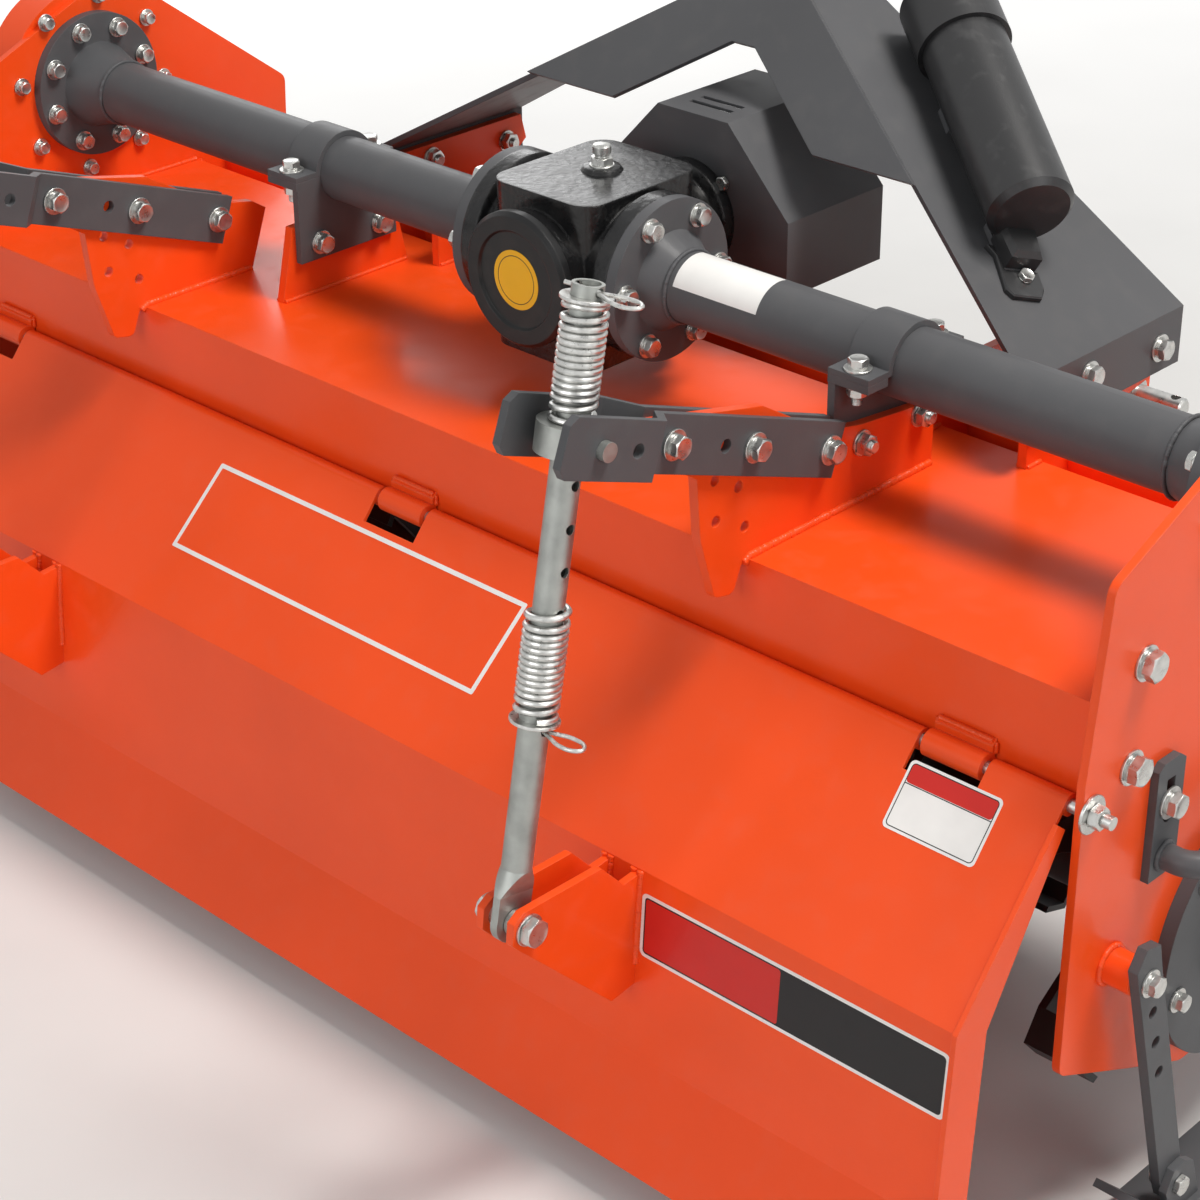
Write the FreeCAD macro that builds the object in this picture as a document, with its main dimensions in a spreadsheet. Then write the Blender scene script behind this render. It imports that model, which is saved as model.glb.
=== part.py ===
# Rotavator: a rear three-point-hitch rotary tiller with a spring-held tailgate.
# Frame: +X to the machine's right, +Y forward (direction of travel), +Z up, ground at Z = 0.
# The gearbox, mast and hitch stand gearbox_x to the right of the hood's middle.
import FreeCAD, Part
import Sketcher
import math
import os

os.makedirs("parts", exist_ok=True)
doc = FreeCAD.newDocument("Rotavator")

# Driving sizes in millimetres and degrees
ROWS = (
    ("gearbox_x", 25, "middle of gearbox, mast and hitch"),
    ("tube_z", 695, "axis of the cross tubes above the ground"),
    ("tube_r", 35, "outer radius of a cross tube"),
    ("tube_wall", 6, "wall of a cross tube"),
    ("tube_flange_r", 81, "flange of a cross tube at the gearbox"),
    ("end_flange_r", 83, "flange of a cross tube at the side plate"),
    ("flange_width", 12, "thickness of both flanges"),
    ("box_half", 98, "gearbox, from its middle to the face of a side flange"),
    ("box_height", 80, "top of the gearbox over the tube axis"),
    ("box_depth", 90, "belly of the gearbox under the tube axis"),
    ("box_rear", 92, "rear boss of the gearbox behind the tube axis"),
    ("box_cap_r", 68, "rear cap"),
    ("box_cap_width", 12, "thickness of the rear cap"),
    ("neck_front", 150, "front face of the input neck before the tube axis"),
    ("neck_r", 58, "input neck"),
    ("shaft_r", 17.4, "input shaft over its splines"),
    ("shaft_front", 218, "front end of the input shaft"),
    ("running_fit", 0.08, "radial gap of a turning pin or shaft"),
    ("side_x", 775, "inner face of a side plate"),
    ("side_width", 8, "thickness of a side plate"),
    ("side_left_rise", 38, "top edges of the left side plate over the right one's"),
    ("rotor_y", 45, "rotor axis before the tube axis"),
    ("rotor_z", 245, "rotor axis above the ground"),
    ("rotor_r", 40, "rotor tube"),
    ("rotor_end_gap", 12, "side plate to the rotor tube's end"),
    ("journal_r", 20, "rotor journal"),
    ("swing_r", 215, "tips of the tines"),
    ("wheel_r", 78, "tine wheel's disc"),
    ("wheel_width", 10, "thickness of a tine wheel's disc"),
    ("wheel_pitch", 232, "spacing of the tine wheels"),
    ("tine_width", 8, "thickness of a tine"),
    ("tine_foot", 62, "sideways foot of a tine"),
    ("hood_sheet", 5, "hood sheet"),
    ("deck_z", 565, "top of the hood's deck"),
    ("deck_rear", -196, "rear face of the hood"),
    ("deck_front", 140, "front fold of the deck"),
    ("hood_rear_z", 466, "lower edge of the hood's rear face"),
    ("skirt_y", 262, "front skirt"),
    ("skirt_top", 440, "fold over the front skirt"),
    ("skirt_z", 370, "lower edge of the front skirt"),
    ("bar_y", 185, "rear face of the front crossbar"),
    ("bar_z", 522, "underside of the front crossbar"),
    ("bar_side", 60, "side of the square crossbar"),
    ("hinge_y", -209, "hinge rod"),
    ("hinge_z", 473.4, "hinge rod above the ground"),
    ("hinge_r", 6, "radius of the hinge rod"),
    ("hinge_end", 22, "hinge rod out of the side plate"),
    ("knuckle_half", 30, "half the width of a hinge knuckle"),
    ("knuckle_wall", 6.5, "strap of a hinge knuckle"),
    ("knuckle_gap", 6, "tailgate's notch beside a knuckle"),
    ("gate_x", 769, "end of the tailgate"),
    ("gate_sheet", 4, "tailgate sheet"),
    ("gate_end_width", 5, "end plate of the tailgate"),
    ("gate_strip", 45, "depth of the end plates"),
    ("panel1_length", 207.2, "tailgate's first panel"),
    ("panel1_angle", 40, "its slant from the vertical"),
    ("panel2_length", 192, "second panel"),
    ("panel2_angle", 4, "its slant"),
    ("panel3_length", 101.5, "third panel"),
    ("panel3_angle", 27.6, "its slant"),
    ("upright_right_x", 393, "inner face of the right upright"),
    ("upright_left_x", -457, "outer face of the left upright"),
    ("upright_width", 10, "thickness of an upright"),
    ("arm_y", -94, "front bolt of the arms"),
    ("arm_z", 637, "front bolt of the arms above the ground"),
    ("arm_slope", 20.4, "rise of the arms towards the rear"),
    ("arm_width", 8, "thickness of an arm"),
    ("arm_half", 26, "half the width of an arm's flat"),
    ("arm_bolt_pitch", 110, "spacing of the arms' bolts"),
    ("arm_length", 382, "front bolt to the rear end"),
    ("arm_nose", 13, "front bolt to the front end"),
    ("joggle_at", 246, "front bolt to the joggle"),
    ("joggle_run", 24, "length of the joggle"),
    ("arm_hole_at", 150, "front bolt to the hole between the bolts"),
    ("arm_hole_behind", 23, "joggle to the hole behind it"),
    ("collar_at", 336, "front bolt to the trunnion"),
    ("collar_r", 28.5, "trunnion collar"),
    ("collar_half", 13, "half the height of the collar"),
    ("collar_gap", 1, "collar to an arm"),
    ("pin_r", 8.5, "trunnion pin"),
    ("rod_r", 13.45, "spring rod, a three-quarter inch pipe"),
    ("rod_wall", 2.9, "wall of the pipe"),
    ("rod_gap", 0.3, "rod in the collar"),
    ("rod_tilt", 10.7, "lean of the rod from the vertical"),
    ("rod_top", 126, "top of the rod over the trunnion"),
    ("rod_length", 432.5, "trunnion to the clevis bolt"),
    ("rod_hole_r", 4.5, "pin hole through the rod"),
    ("rod_hole_at", 38, "trunnion to the first pin hole under it"),
    ("rod_hole_pitch", 37, "spacing of the pin holes"),
    ("spring_r", 20, "outer radius of a spring"),
    ("spring_wire", 6, "wire of a spring"),
    ("spring_length", 100, "length of a spring"),
    ("spring_low", 145, "top of the lower spring under the trunnion"),
    ("seat_width", 3, "washer at a spring's end"),
    ("pinch_top", 50, "end of the round pipe over the clevis bolt"),
    ("pinch_flat", 26, "top of the flattened end over the clevis bolt"),
    ("tongue_r", 20, "round of the flattened end"),
    ("tongue_half", 4, "half the thickness of the flattened end"),
    ("clevis_r", 8, "clevis bolt"),
    ("clevis_play", 2.2, "play of the rod's eye round the clevis bolt"),
    ("spacer_wall", 4, "wall of a spacer on the clevis bolt"),
    ("spacer_gap", 0.5, "spacer to the flattened end"),
    ("lug_gap", 14, "inner face of a clevis lug from the rod's plane"),
    ("lug_width", 8, "thickness of a clevis lug"),
    ("clamp_x", 383, "middle of a tube clamp from the gearbox"),
    ("clamp_half", 23, "half the width of a clamp's strap"),
    ("clamp_wall", 6, "thickness of a clamp's strap"),
    ("clamp_ear", 69, "end of a clamp's ears from the tube axis"),
    ("web_width", 8, "web of a clamp bracket"),
    ("stand_width", 10, "stand under the left clamp"),
    ("mast_sheet", 6, "mast plate"),
    ("mast_foot_x", 458, "outside of the mast's foot"),
    ("mast_foot_z", 600, "lower edge of the mast's foot"),
    ("mast_fold_z", 659, "fold over the mast's foot"),
    ("mast_slope", 31, "rise of a mast leg"),
    ("mast_front", 355, "front edge of a mast leg"),
    ("web_y", 180, "lower edge of the leaning mast web"),
    ("web_z", 778, "lower edge of the mast web above the ground"),
    ("web_lean", 35, "lean of the mast web"),
    ("top_link_y", 400, "top link pin"),
    ("top_link_z", 950, "top link pin above the ground"),
    ("top_hole_r", 9.75, "hole for the top link's 19 mm pin"),
    ("top_lug_x", 25, "inner face of a top link lug"),
    ("top_lug_width", 10, "thickness of a top link lug"),
    ("beam_x", 442, "inner face of a mast beam"),
    ("beam_width", 10, "thickness of a mast beam"),
    ("beam_rear", 115, "rear end of a mast beam"),
    ("beam_top", 652, "top edge of a mast beam"),
    ("hitch_x", 341.5, "shoulder of a lower hitch pin"),
    ("hitch_width", 10, "thickness of a hitch plate"),
    ("hitch_y", 475, "lower hitch pins"),
    ("hitch_z", 490, "lower hitch pins above the ground"),
    ("hitch_pin_r", 11, "radius of a lower hitch pin"),
    ("hitch_pin_free", 58, "free end of a lower hitch pin"),
    ("hitch_pin_thread", 22, "threaded end behind its plate"),
    ("shoulder_width", 8, "shoulder of a lower hitch pin"),
    ("shoulder_r", 18, "radius of the shoulder"),
    ("linch_hole_at", 47, "shoulder to the hole for the linch pin"),
    ("linch_hole_r", 5.5, "hole for the linch pin"),
    ("shield_y", 150, "rear wall of the drive shaft shield"),
    ("shield_front", 300, "front edge of the shield"),
    ("shield_sheet", 3, "shield sheet"),
    ("shield_top", 800, "roof of the shield"),
    ("shield_roof_x", 47, "half the width of its roof"),
    ("shield_x", 128, "half its width"),
    ("shield_shoulder", 715, "its shoulders"),
    ("shield_foot", 635, "its lower edge"),
    ("case_width", 46, "depth of the side gear case"),
    ("case_top_r", 110, "gear case round the tube axis"),
    ("case_low_r", 120, "gear case round the rotor axis"),
    ("carrier_r", 130, "bearing carrier"),
    ("carrier_width", 14, "flange of the bearing carrier"),
    ("carrier_boss_r", 70, "boss of the bearing carrier"),
    ("carrier_boss", 22, "depth of its boss"),
    ("arm_stub", 30, "stub tube under a skid arm"),
    ("skid_arm_width", 10, "thickness of a skid arm"),
    ("skid_sheet", 8, "skid runner"),
    ("skid_half", 30, "half the width of a skid runner"),
    ("skid_x", 808, "middle of a skid runner"),
    ("skid_bolt_y", -82, "lower bolt of a skid arm"),
    ("skid_bolt_z", 39, "lower bolt of a skid arm above the ground"),
    ("stub_y", -157, "stub of a skid arm"),
    ("stub_z", 298, "stub of a skid arm above the ground"),
    ("guard_z", 385, "side guard tube above the ground"),
    ("guard_r", 12, "radius of the side guard tube"),
    ("guard_x", 826, "side guard tube's run"),
    ("tube_case_r", 43, "document tube"),
    ("tube_cap_r", 48, "cap of the document tube"),
    ("tube_case_length", 220, "document tube under its cap"),
    ("tube_cap_length", 70, "its cap"),
    ("tube_lift", 50, "axis of the document tube over the mast leg"),
)
sheet = doc.addObject("Spreadsheet::Sheet", "Sizes")
for row, (alias, value, note) in enumerate(ROWS, 1):
    sheet.set(f"A{row}", alias)
    sheet.set(f"B{row}", str(value))
    sheet.setAlias(f"B{row}", alias)
    sheet.set(f"C{row}", note)
doc.recompute()


class Size:
    """A length or angle: its expression over the sheet, and its present value."""

    def __init__(self, text, value):
        self.text = text
        self.value = value

    def __add__(self, other):
        other = size(other)
        return Size(f"({self.text} + {other.text})", self.value + other.value)

    def __sub__(self, other):
        other = size(other)
        return Size(f"({self.text} - {other.text})", self.value - other.value)

    def __mul__(self, other):
        other = size(other)
        return Size(f"({self.text} * {other.text})", self.value * other.value)

    def __truediv__(self, other):
        other = size(other)
        return Size(f"({self.text} / {other.text})", self.value / other.value)

    def __radd__(self, other):
        return size(other) + self

    def __rsub__(self, other):
        return size(other) - self

    def __rmul__(self, other):
        return size(other) * self

    def __rtruediv__(self, other):
        return size(other) / self

    def __neg__(self):
        return size(0) - self


def size(value):
    """A plain number as a Size."""
    return value if isinstance(value, Size) else Size(f"({float(value)})", float(value))


def sine(angle):
    return Size(f"sin({angle.text})", math.sin(math.radians(angle.value)))


def cosine(angle):
    return Size(f"cos({angle.text})", math.cos(math.radians(angle.value)))


def tangent(angle):
    return Size(f"tan({angle.text})", math.tan(math.radians(angle.value)))


class Sizes:
    """The sheet's rows as Size values."""

    def __getattr__(self, alias):
        return Size(f"Sizes.{alias}", float(sheet.get(alias)))


s = Sizes()
nodes = []


def bind(thing, prop, value):
    """Binds a property to the sheet."""
    value = size(value)
    thing.setExpression(prop, value.text)


def keep(label, *things):
    """Names a node; several solids of one node become a compound."""
    if len(things) == 1:
        node = things[0]
    else:
        node = doc.addObject("Part::Compound", label)
        node.Links = list(things)
    node.Label = label
    nodes.append(node)
    return node


def body(label):
    thing = doc.addObject("PartDesign::Body", label)
    thing.Label = label
    return thing


def sketch(owner, role, start=0):
    """A sketch on one of the body's origin planes, moved along the plane's normal."""
    thing = owner.newObject("Sketcher::SketchObject", owner.Name + "_sketch")
    plane = next(f for f in owner.Origin.OriginFeatures if f.Role == role)
    thing.AttachmentSupport = (plane, [""])
    thing.MapMode = "FlatFace"
    start = size(start)
    if start.value:
        bind(thing, "AttachmentOffset.Base.z", start)
    return thing


def hold(drawing, geometry, end, place):
    """Holds a point of the sketch at its distances from the origin."""
    for rule, axis, value in (("DistanceX", -2, place[0]), ("DistanceY", -1, place[1])):
        value = size(value)
        if value.value == 0:
            drawing.addConstraint(Sketcher.Constraint("PointOnObject", geometry, end, axis))
        else:
            number = drawing.addConstraint(Sketcher.Constraint(rule, -1, 1, geometry, end, value.value))
            drawing.setExpression(f"Constraints[{number}]", value.text)


def point(place):
    return FreeCAD.Vector(size(place[0]).value, size(place[1]).value, 0)


def outline(drawing, places):
    """A closed polygon."""
    first = drawing.GeometryCount
    count = len(places)
    for i in range(count):
        drawing.addGeometry(Part.LineSegment(point(places[i]), point(places[(i + 1) % count])), False)
    for i in range(count):
        drawing.addConstraint(Sketcher.Constraint("Coincident", first + i, 2, first + (i + 1) % count, 1))
    for i in range(count):
        hold(drawing, first + i, 1, places[i])


def circle(drawing, place, radius):
    radius = size(radius)
    number = drawing.addGeometry(Part.Circle(point(place), FreeCAD.Vector(0, 0, 1), radius.value), False)
    rule = drawing.addConstraint(Sketcher.Constraint("Radius", number, radius.value))
    drawing.setExpression(f"Constraints[{rule}]", radius.text)
    hold(drawing, number, 3, place)


def strip(drawing, places, thickness, left):
    """A sheet's section: the outer line through the places and a parallel line one thickness inside."""
    first = drawing.GeometryCount
    count = len(places) - 1
    thickness = size(thickness)
    outer = [point(p) for p in places]
    turn = 1 if left else -1
    runs = [(outer[i + 1] - outer[i]).normalize() for i in range(count)]
    normals = [FreeCAD.Vector(-run.y, run.x, 0) * turn for run in runs]
    inner = []
    for i in range(count + 1):
        before = normals[max(i - 1, 0)]
        after = normals[min(i, count - 1)]
        inner.append(outer[i] + (before + after) * (thickness.value / (1 + before.dot(after))))
    for line in (outer, inner):
        for i in range(count):
            drawing.addGeometry(Part.LineSegment(line[i], line[i + 1]), False)
    drawing.addGeometry(Part.LineSegment(outer[0], inner[0]), False)
    drawing.addGeometry(Part.LineSegment(outer[-1], inner[-1]), False)
    caps = (first + 2 * count, first + 2 * count + 1)
    rules = []
    for start in (first, first + count):
        for i in range(count - 1):
            rules.append(Sketcher.Constraint("Coincident", start + i, 2, start + i + 1, 1))
    rules.append(Sketcher.Constraint("Coincident", caps[0], 1, first, 1))
    rules.append(Sketcher.Constraint("Coincident", caps[0], 2, first + count, 1))
    rules.append(Sketcher.Constraint("Coincident", caps[1], 1, first + count - 1, 2))
    rules.append(Sketcher.Constraint("Coincident", caps[1], 2, first + 2 * count - 1, 2))
    rules.append(Sketcher.Constraint("Perpendicular", caps[0], first))
    rules.append(Sketcher.Constraint("Perpendicular", caps[1], first + count - 1))
    for i in range(count):
        rules.append(Sketcher.Constraint("Parallel", first + i, first + count + i))
    drawing.addConstraint(rules)
    for i in range(count):
        number = drawing.addConstraint(
            Sketcher.Constraint("Distance", first + count + i, 1, first + i, thickness.value))
        drawing.setExpression(f"Constraints[{number}]", thickness.text)
    for i in range(count):
        hold(drawing, first + i, 1, places[i])
    hold(drawing, first + count - 1, 2, places[-1])


def pad(owner, drawing, length, reverse=False):
    thing = owner.newObject("PartDesign::Pad", owner.Name + "_pad")
    thing.Profile = drawing
    bind(thing, "Length", length)
    thing.Reversed = reverse
    doc.recompute()
    return thing


def pocket(owner, drawing, reverse=False, length=None):
    """Cuts through the whole body, or to a length; the body has to lose volume."""
    before = owner.Shape.Volume
    thing = owner.newObject("PartDesign::Pocket", owner.Name + "_pocket")
    thing.Profile = drawing
    if length is None:
        thing.Type = "ThroughAll"
    else:
        bind(thing, "Length", length)
    thing.Reversed = reverse
    doc.recompute()
    if owner.Shape.Volume > before - 1:
        raise ValueError(f"{owner.Label}: a pocket cut nothing")
    return thing


def edges_at(shape, role, place, reach=0.01):
    """Names of the straight edges that stand on the sketch's plane at a place."""
    u, v = size(place[0]).value, size(place[1]).value
    pick = {"YZ_Plane": ("y", "z"), "XZ_Plane": ("x", "z"), "XY_Plane": ("x", "y")}[role]
    found = []
    for number, edge in enumerate(shape.Edges, 1):
        ends = [(getattr(p.Point, pick[0]), getattr(p.Point, pick[1])) for p in edge.Vertexes]
        if len(ends) == 2 and all(math.hypot(a - u, b - v) < reach for a, b in ends):
            found.append(f"Edge{number}")
    return found


def round_corners(owner, role, corners):
    """Fillets the standing edges at the places, given as {radius: places}."""
    for radius, places in corners:
        tip = owner.Tip
        names = [name for place in places for name in edges_at(tip.Shape, role, place)]
        thing = owner.newObject("PartDesign::Fillet", owner.Name + "_round")
        thing.Base = (tip, names)
        bind(thing, "Radius", radius)
        doc.recompute()


def plate(label, role, start, thickness, places, holes=(), windows=(), rounds=()):
    """A flat plate with its holes, window outlines and rounded corners.

    It starts at a distance along the plane's normal and is as thick as given.
    """
    thing = body(label)
    drawing = sketch(thing, role, start)
    outline(drawing, places)
    for place, radius in holes:
        circle(drawing, place, radius)
    for window in windows:
        outline(drawing, window)
    pad(thing, drawing, thickness)
    round_corners(thing, role, rounds)
    return thing


def turned(label, axis, places, y=0, z=0, x=0):
    """A turned piece from its half section: (distance along the axis, radius)."""
    thing = body(label)
    role, line = {"x": ("XZ_Plane", "H_Axis"), "y": ("YZ_Plane", "H_Axis"), "z": ("XZ_Plane", "V_Axis")}[axis]
    drawing = sketch(thing, role)
    outline(drawing, [(r, a) for a, r in places] if axis == "z" else places)
    spin = thing.newObject("PartDesign::Revolution", label + "_turn")
    spin.Profile = drawing
    spin.ReferenceAxis = (drawing, [line])
    spin.Angle = 360
    for name, value in (("x", x), ("y", y), ("z", z)):
        if size(value).value:
            bind(thing, "Placement.Base." + name, value)
    doc.recompute()
    return thing


def lean(thing, angle):
    """Turns a body about its own X axis; a positive angle lowers its +Y side."""
    thing.Placement = FreeCAD.Placement(thing.Placement.Base, FreeCAD.Rotation(FreeCAD.Vector(1, 0, 0), -10))
    bind(thing, "Placement.Rotation.Angle", -angle)


def at(thing, x, y, z):
    for name, value in (("x", x), ("y", y), ("z", z)):
        bind(thing, "Placement.Base." + name, value)


def fuse(label, *things):
    thing = doc.addObject("Part::MultiFuse", label)
    thing.Shapes = list(things)
    thing.Refine = True
    doc.recompute()
    return thing


def span(side, near, width):
    """Start of a plate that lies from near outwards on the given side of x = 0."""
    return near if side > 0 else -(near + width)


def mast_x(side, distance):
    """A place at a distance from the gearbox's middle, to one side."""
    return s.gearbox_x + side * distance


def mast_span(side, near, width):
    return mast_x(side, near) if side > 0 else mast_x(side, near + width)


SIDES = ((1, "right"), (-1, "left"))

# Places of the linkage, worked out from the sheet
trunnion_y = s.arm_y - s.collar_at * cosine(s.arm_slope)
trunnion_z = s.arm_z + s.collar_at * sine(s.arm_slope)
clevis_y = trunnion_y - s.rod_length * sine(s.rod_tilt)
clevis_z = trunnion_z - s.rod_length * cosine(s.rod_tilt)
curl_r = s.hinge_r + s.running_fit + s.gate_sheet
gate_top_y = s.hinge_y - curl_r * cosine(s.panel1_angle)
gate_top_z = s.hinge_z + curl_r * sine(s.panel1_angle)
fold1_y = gate_top_y - s.panel1_length * sine(s.panel1_angle)
fold1_z = gate_top_z - s.panel1_length * cosine(s.panel1_angle)
fold2_y = fold1_y - s.panel2_length * sine(s.panel2_angle)
fold2_z = fold1_z - s.panel2_length * cosine(s.panel2_angle)
gate_low_y = fold2_y - s.panel3_length * sine(s.panel3_angle)
gate_low_z = fold2_z - s.panel3_length * cosine(s.panel3_angle)
plane_right = s.upright_right_x + s.upright_width / 2
plane_left = s.upright_left_x + s.upright_width / 2
PLANES = ((plane_right, "right"), (plane_left, "left"))
KNUCKLES = (-685, -25, 650)


def side_plates():
    """Flat side plates that carry the hood, the cross tubes and the rotor."""
    for side, name in SIDES:
        rise = size(0) if side > 0 else s.side_left_rise
        places = (
            (s.hinge_y + 8, 676 + rise),
            (size(42), 780 + rise),
            (size(286), 597 + rise),
            (size(283), size(556)),
            (size(240), size(195)),
            (size(110), size(117)),
            (size(-20), size(117)),
            (size(-107), size(158)),
            (s.hinge_y - 11, size(214)),
            (s.hinge_y - 11, s.hinge_z + 30),
        )
        holes = (
            ((s.hinge_y, s.hinge_z), s.hinge_r),
            ((s.rotor_y, s.rotor_z), s.journal_r + 15),
        )
        rounds = (
            (40, (places[1],)),
            (15, (places[0], places[2], places[8])),
            (30, (places[4], places[5], places[6])),
        )
        keep("side_plate_" + name, plate("side_plate_" + name, "YZ_Plane", span(side, s.side_x, s.side_width),
                                         s.side_width, places, holes, rounds=rounds))


def hood():
    """One folded sheet over the rotor, between the side plates."""
    thing = body("hood")
    drawing = sketch(thing, "YZ_Plane", -s.side_x)
    places = (
        (s.deck_rear, s.hood_rear_z),
        (s.deck_rear, s.deck_z),
        (s.deck_front, s.deck_z),
        (s.skirt_y, s.skirt_top),
        (s.skirt_y, s.skirt_z),
    )
    strip(drawing, places, s.hood_sheet, left=False)
    pad(thing, drawing, s.side_x * 2)
    keep("hood", thing)
    bar = plate("front_crossbar", "YZ_Plane", -s.side_x, s.side_x * 2, (
        (s.bar_y, s.bar_z), (s.bar_y + s.bar_side, s.bar_z),
        (s.bar_y + s.bar_side, s.bar_z + s.bar_side), (s.bar_y, s.bar_z + s.bar_side)))
    keep("front_crossbar", bar)


def hinge():
    """Hinge rod through both side plates, and three strap knuckles on the hood's rear face."""
    end = s.side_x + s.side_width + s.hinge_end
    rod = turned("hinge_rod", "x", (
        (-end, 0), (end, 0), (end, s.hinge_r), (-end, s.hinge_r)), s.hinge_y, s.hinge_z)
    keep("hinge_rod", rod)
    knuckles = []
    for number, x in enumerate(KNUCKLES):
        thing = body(f"knuckle_{number}")
        drawing = sketch(thing, "YZ_Plane", x - s.knuckle_half)
        foot = s.hinge_z + s.hinge_r + 1.5
        outline(drawing, (
            (s.deck_rear - s.knuckle_wall, foot), (s.deck_rear, foot),
            (s.deck_rear, s.hinge_z + 22), (s.deck_rear - s.knuckle_wall, s.hinge_z + 17)))
        pad(thing, drawing, s.knuckle_half * 2)
        ring = sketch(thing, "YZ_Plane", x - s.knuckle_half)
        circle(ring, (s.hinge_y, s.hinge_z), s.hinge_r + s.knuckle_wall)
        circle(ring, (s.hinge_y, s.hinge_z), s.hinge_r)
        pad(thing, ring, s.knuckle_half * 2)
        knuckles.append(thing)
    keep("hinge_knuckles", *knuckles)


def cross_tubes():
    """Axle tubes from the gearbox to the side plates, each with a flange and a welded hub at both ends."""
    for side, name in SIDES:
        near = s.gearbox_x * side + s.box_half
        far = s.side_x
        bore = s.tube_r - s.tube_wall
        places = (
            (near, bore), (far, bore), (far, s.end_flange_r), (far - s.flange_width, s.end_flange_r),
            (far - s.flange_width, s.tube_r + 14), (far - 60, s.tube_r),
            (near + s.flange_width + 23, s.tube_r), (near + s.flange_width, s.tube_r + 15),
            (near + s.flange_width, s.tube_flange_r), (near, s.tube_flange_r))
        places = [(side * size(a), r) for a, r in places]
        keep("cross_tube_" + name, turned("cross_tube_" + name, "x", places, 0, s.tube_z))


def gearbox():
    """Cast bevel gearbox: block, side flanges, rear boss and input neck; a round rear cap."""
    block = plate("gearbox_block", "XY_Plane", s.tube_z - s.box_depth, s.box_depth + s.box_height, (
        (s.gearbox_x - 68, size(-72)), (s.gearbox_x + 68, size(-72)),
        (s.gearbox_x + 68, size(90)), (s.gearbox_x - 68, size(90))),
        rounds=((24, ((s.gearbox_x - 68, size(-72)), (s.gearbox_x + 68, size(-72)),
                      (s.gearbox_x + 68, size(90)), (s.gearbox_x - 68, size(90)))),))
    ring = turned("gearbox_flanges", "x", (
        (-s.box_half, 0), (s.box_half, 0), (s.box_half, s.tube_flange_r), (s.box_half - 18, s.tube_flange_r),
        (s.box_half - 22, s.tube_flange_r - 9), (22 - s.box_half, s.tube_flange_r - 9),
        (18 - s.box_half, s.tube_flange_r), (-s.box_half, s.tube_flange_r)), 0, s.tube_z, s.gearbox_x)
    boss = turned("gearbox_boss", "y", (
        (-s.box_rear, 0), (0, 0), (0, 60), (-s.box_rear, 64)), 0, s.tube_z, s.gearbox_x)
    deep = s.neck_front - 25
    neck = turned("gearbox_neck", "y", (
        (60, 0), (deep, 0), (deep, s.shaft_r + s.running_fit), (s.neck_front, s.shaft_r + s.running_fit),
        (s.neck_front, s.neck_r), (s.neck_front - 14, s.neck_r), (s.neck_front - 20, s.neck_r - 10),
        (60, s.neck_r - 4)), 0, s.tube_z, s.gearbox_x)
    keep("gearbox_housing", fuse("gearbox_housing", block, ring, boss, neck))
    front, back = -s.box_rear, -s.box_rear - s.box_cap_width
    keep("gearbox_cap", turned("gearbox_cap", "y", (
        (front, 0), (front, s.box_cap_r), (back + 4, s.box_cap_r), (back, s.box_cap_r - 4),
        (back, s.box_cap_r - 18), (back + 3, s.box_cap_r - 20), (back + 3, 0)), 0, s.tube_z, s.gearbox_x))


def input_shaft():
    """Splined input shaft: six grooves round a plain bar."""
    start = s.neck_front - 25 + 0.5
    thing = turned("input_shaft", "y", (
        (start, 0), (s.shaft_front, 0), (s.shaft_front, s.shaft_r - 2), (s.shaft_front - 2, s.shaft_r),
        (start, s.shaft_r)), 0, s.tube_z, s.gearbox_x)
    groove = sketch(thing, "XZ_Plane", -s.shaft_front - 1)
    outline(groove, (
        (-4.3, s.shaft_r - 2.6), (4.3, s.shaft_r - 2.6), (4.3, s.shaft_r + 3), (-4.3, s.shaft_r + 3)))
    cut = pocket(thing, groove, reverse=True, length=s.shaft_front - s.neck_front - 3)
    ring = thing.newObject("PartDesign::PolarPattern", "input_shaft_splines")
    ring.Originals = [cut]
    ring.Axis = (next(f for f in thing.Origin.OriginFeatures if f.Role == "Y_Axis"), [""])
    ring.Angle = 360
    ring.Occurrences = 6
    thing.Tip = ring
    doc.recompute()
    keep("input_shaft", thing)


def shield():
    """Folded sheet tunnel over the input shaft, closed by a rear wall on the gearbox's neck."""
    thing = body("shaft_shield")
    x = s.gearbox_x
    section = (
        (x - s.shield_x, s.shield_foot), (x - s.shield_x, s.shield_shoulder),
        (x - s.shield_roof_x, s.shield_top), (x + s.shield_roof_x, s.shield_top),
        (x + s.shield_x, s.shield_shoulder), (x + s.shield_x, s.shield_foot))
    drawing = sketch(thing, "XZ_Plane", -s.shield_front)
    strip(drawing, section, s.shield_sheet, left=False)
    pad(thing, drawing, s.shield_front - s.shield_y)
    wall = sketch(thing, "XZ_Plane", -s.shield_y - s.shield_sheet)
    outline(wall, section)
    circle(wall, (x, s.tube_z), s.shaft_r + 12)
    pad(thing, wall, s.shield_sheet)
    slots = sketch(thing, "XY_Plane", s.shield_top + 5)
    for y in (175, 192):
        outline(slots, ((x - 28, size(y)), (x + 28, size(y)), (x + 28, size(y + 7)), (x - 28, size(y + 7))))
    pocket(thing, slots, length=20)
    keep("shaft_shield", thing)


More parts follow.
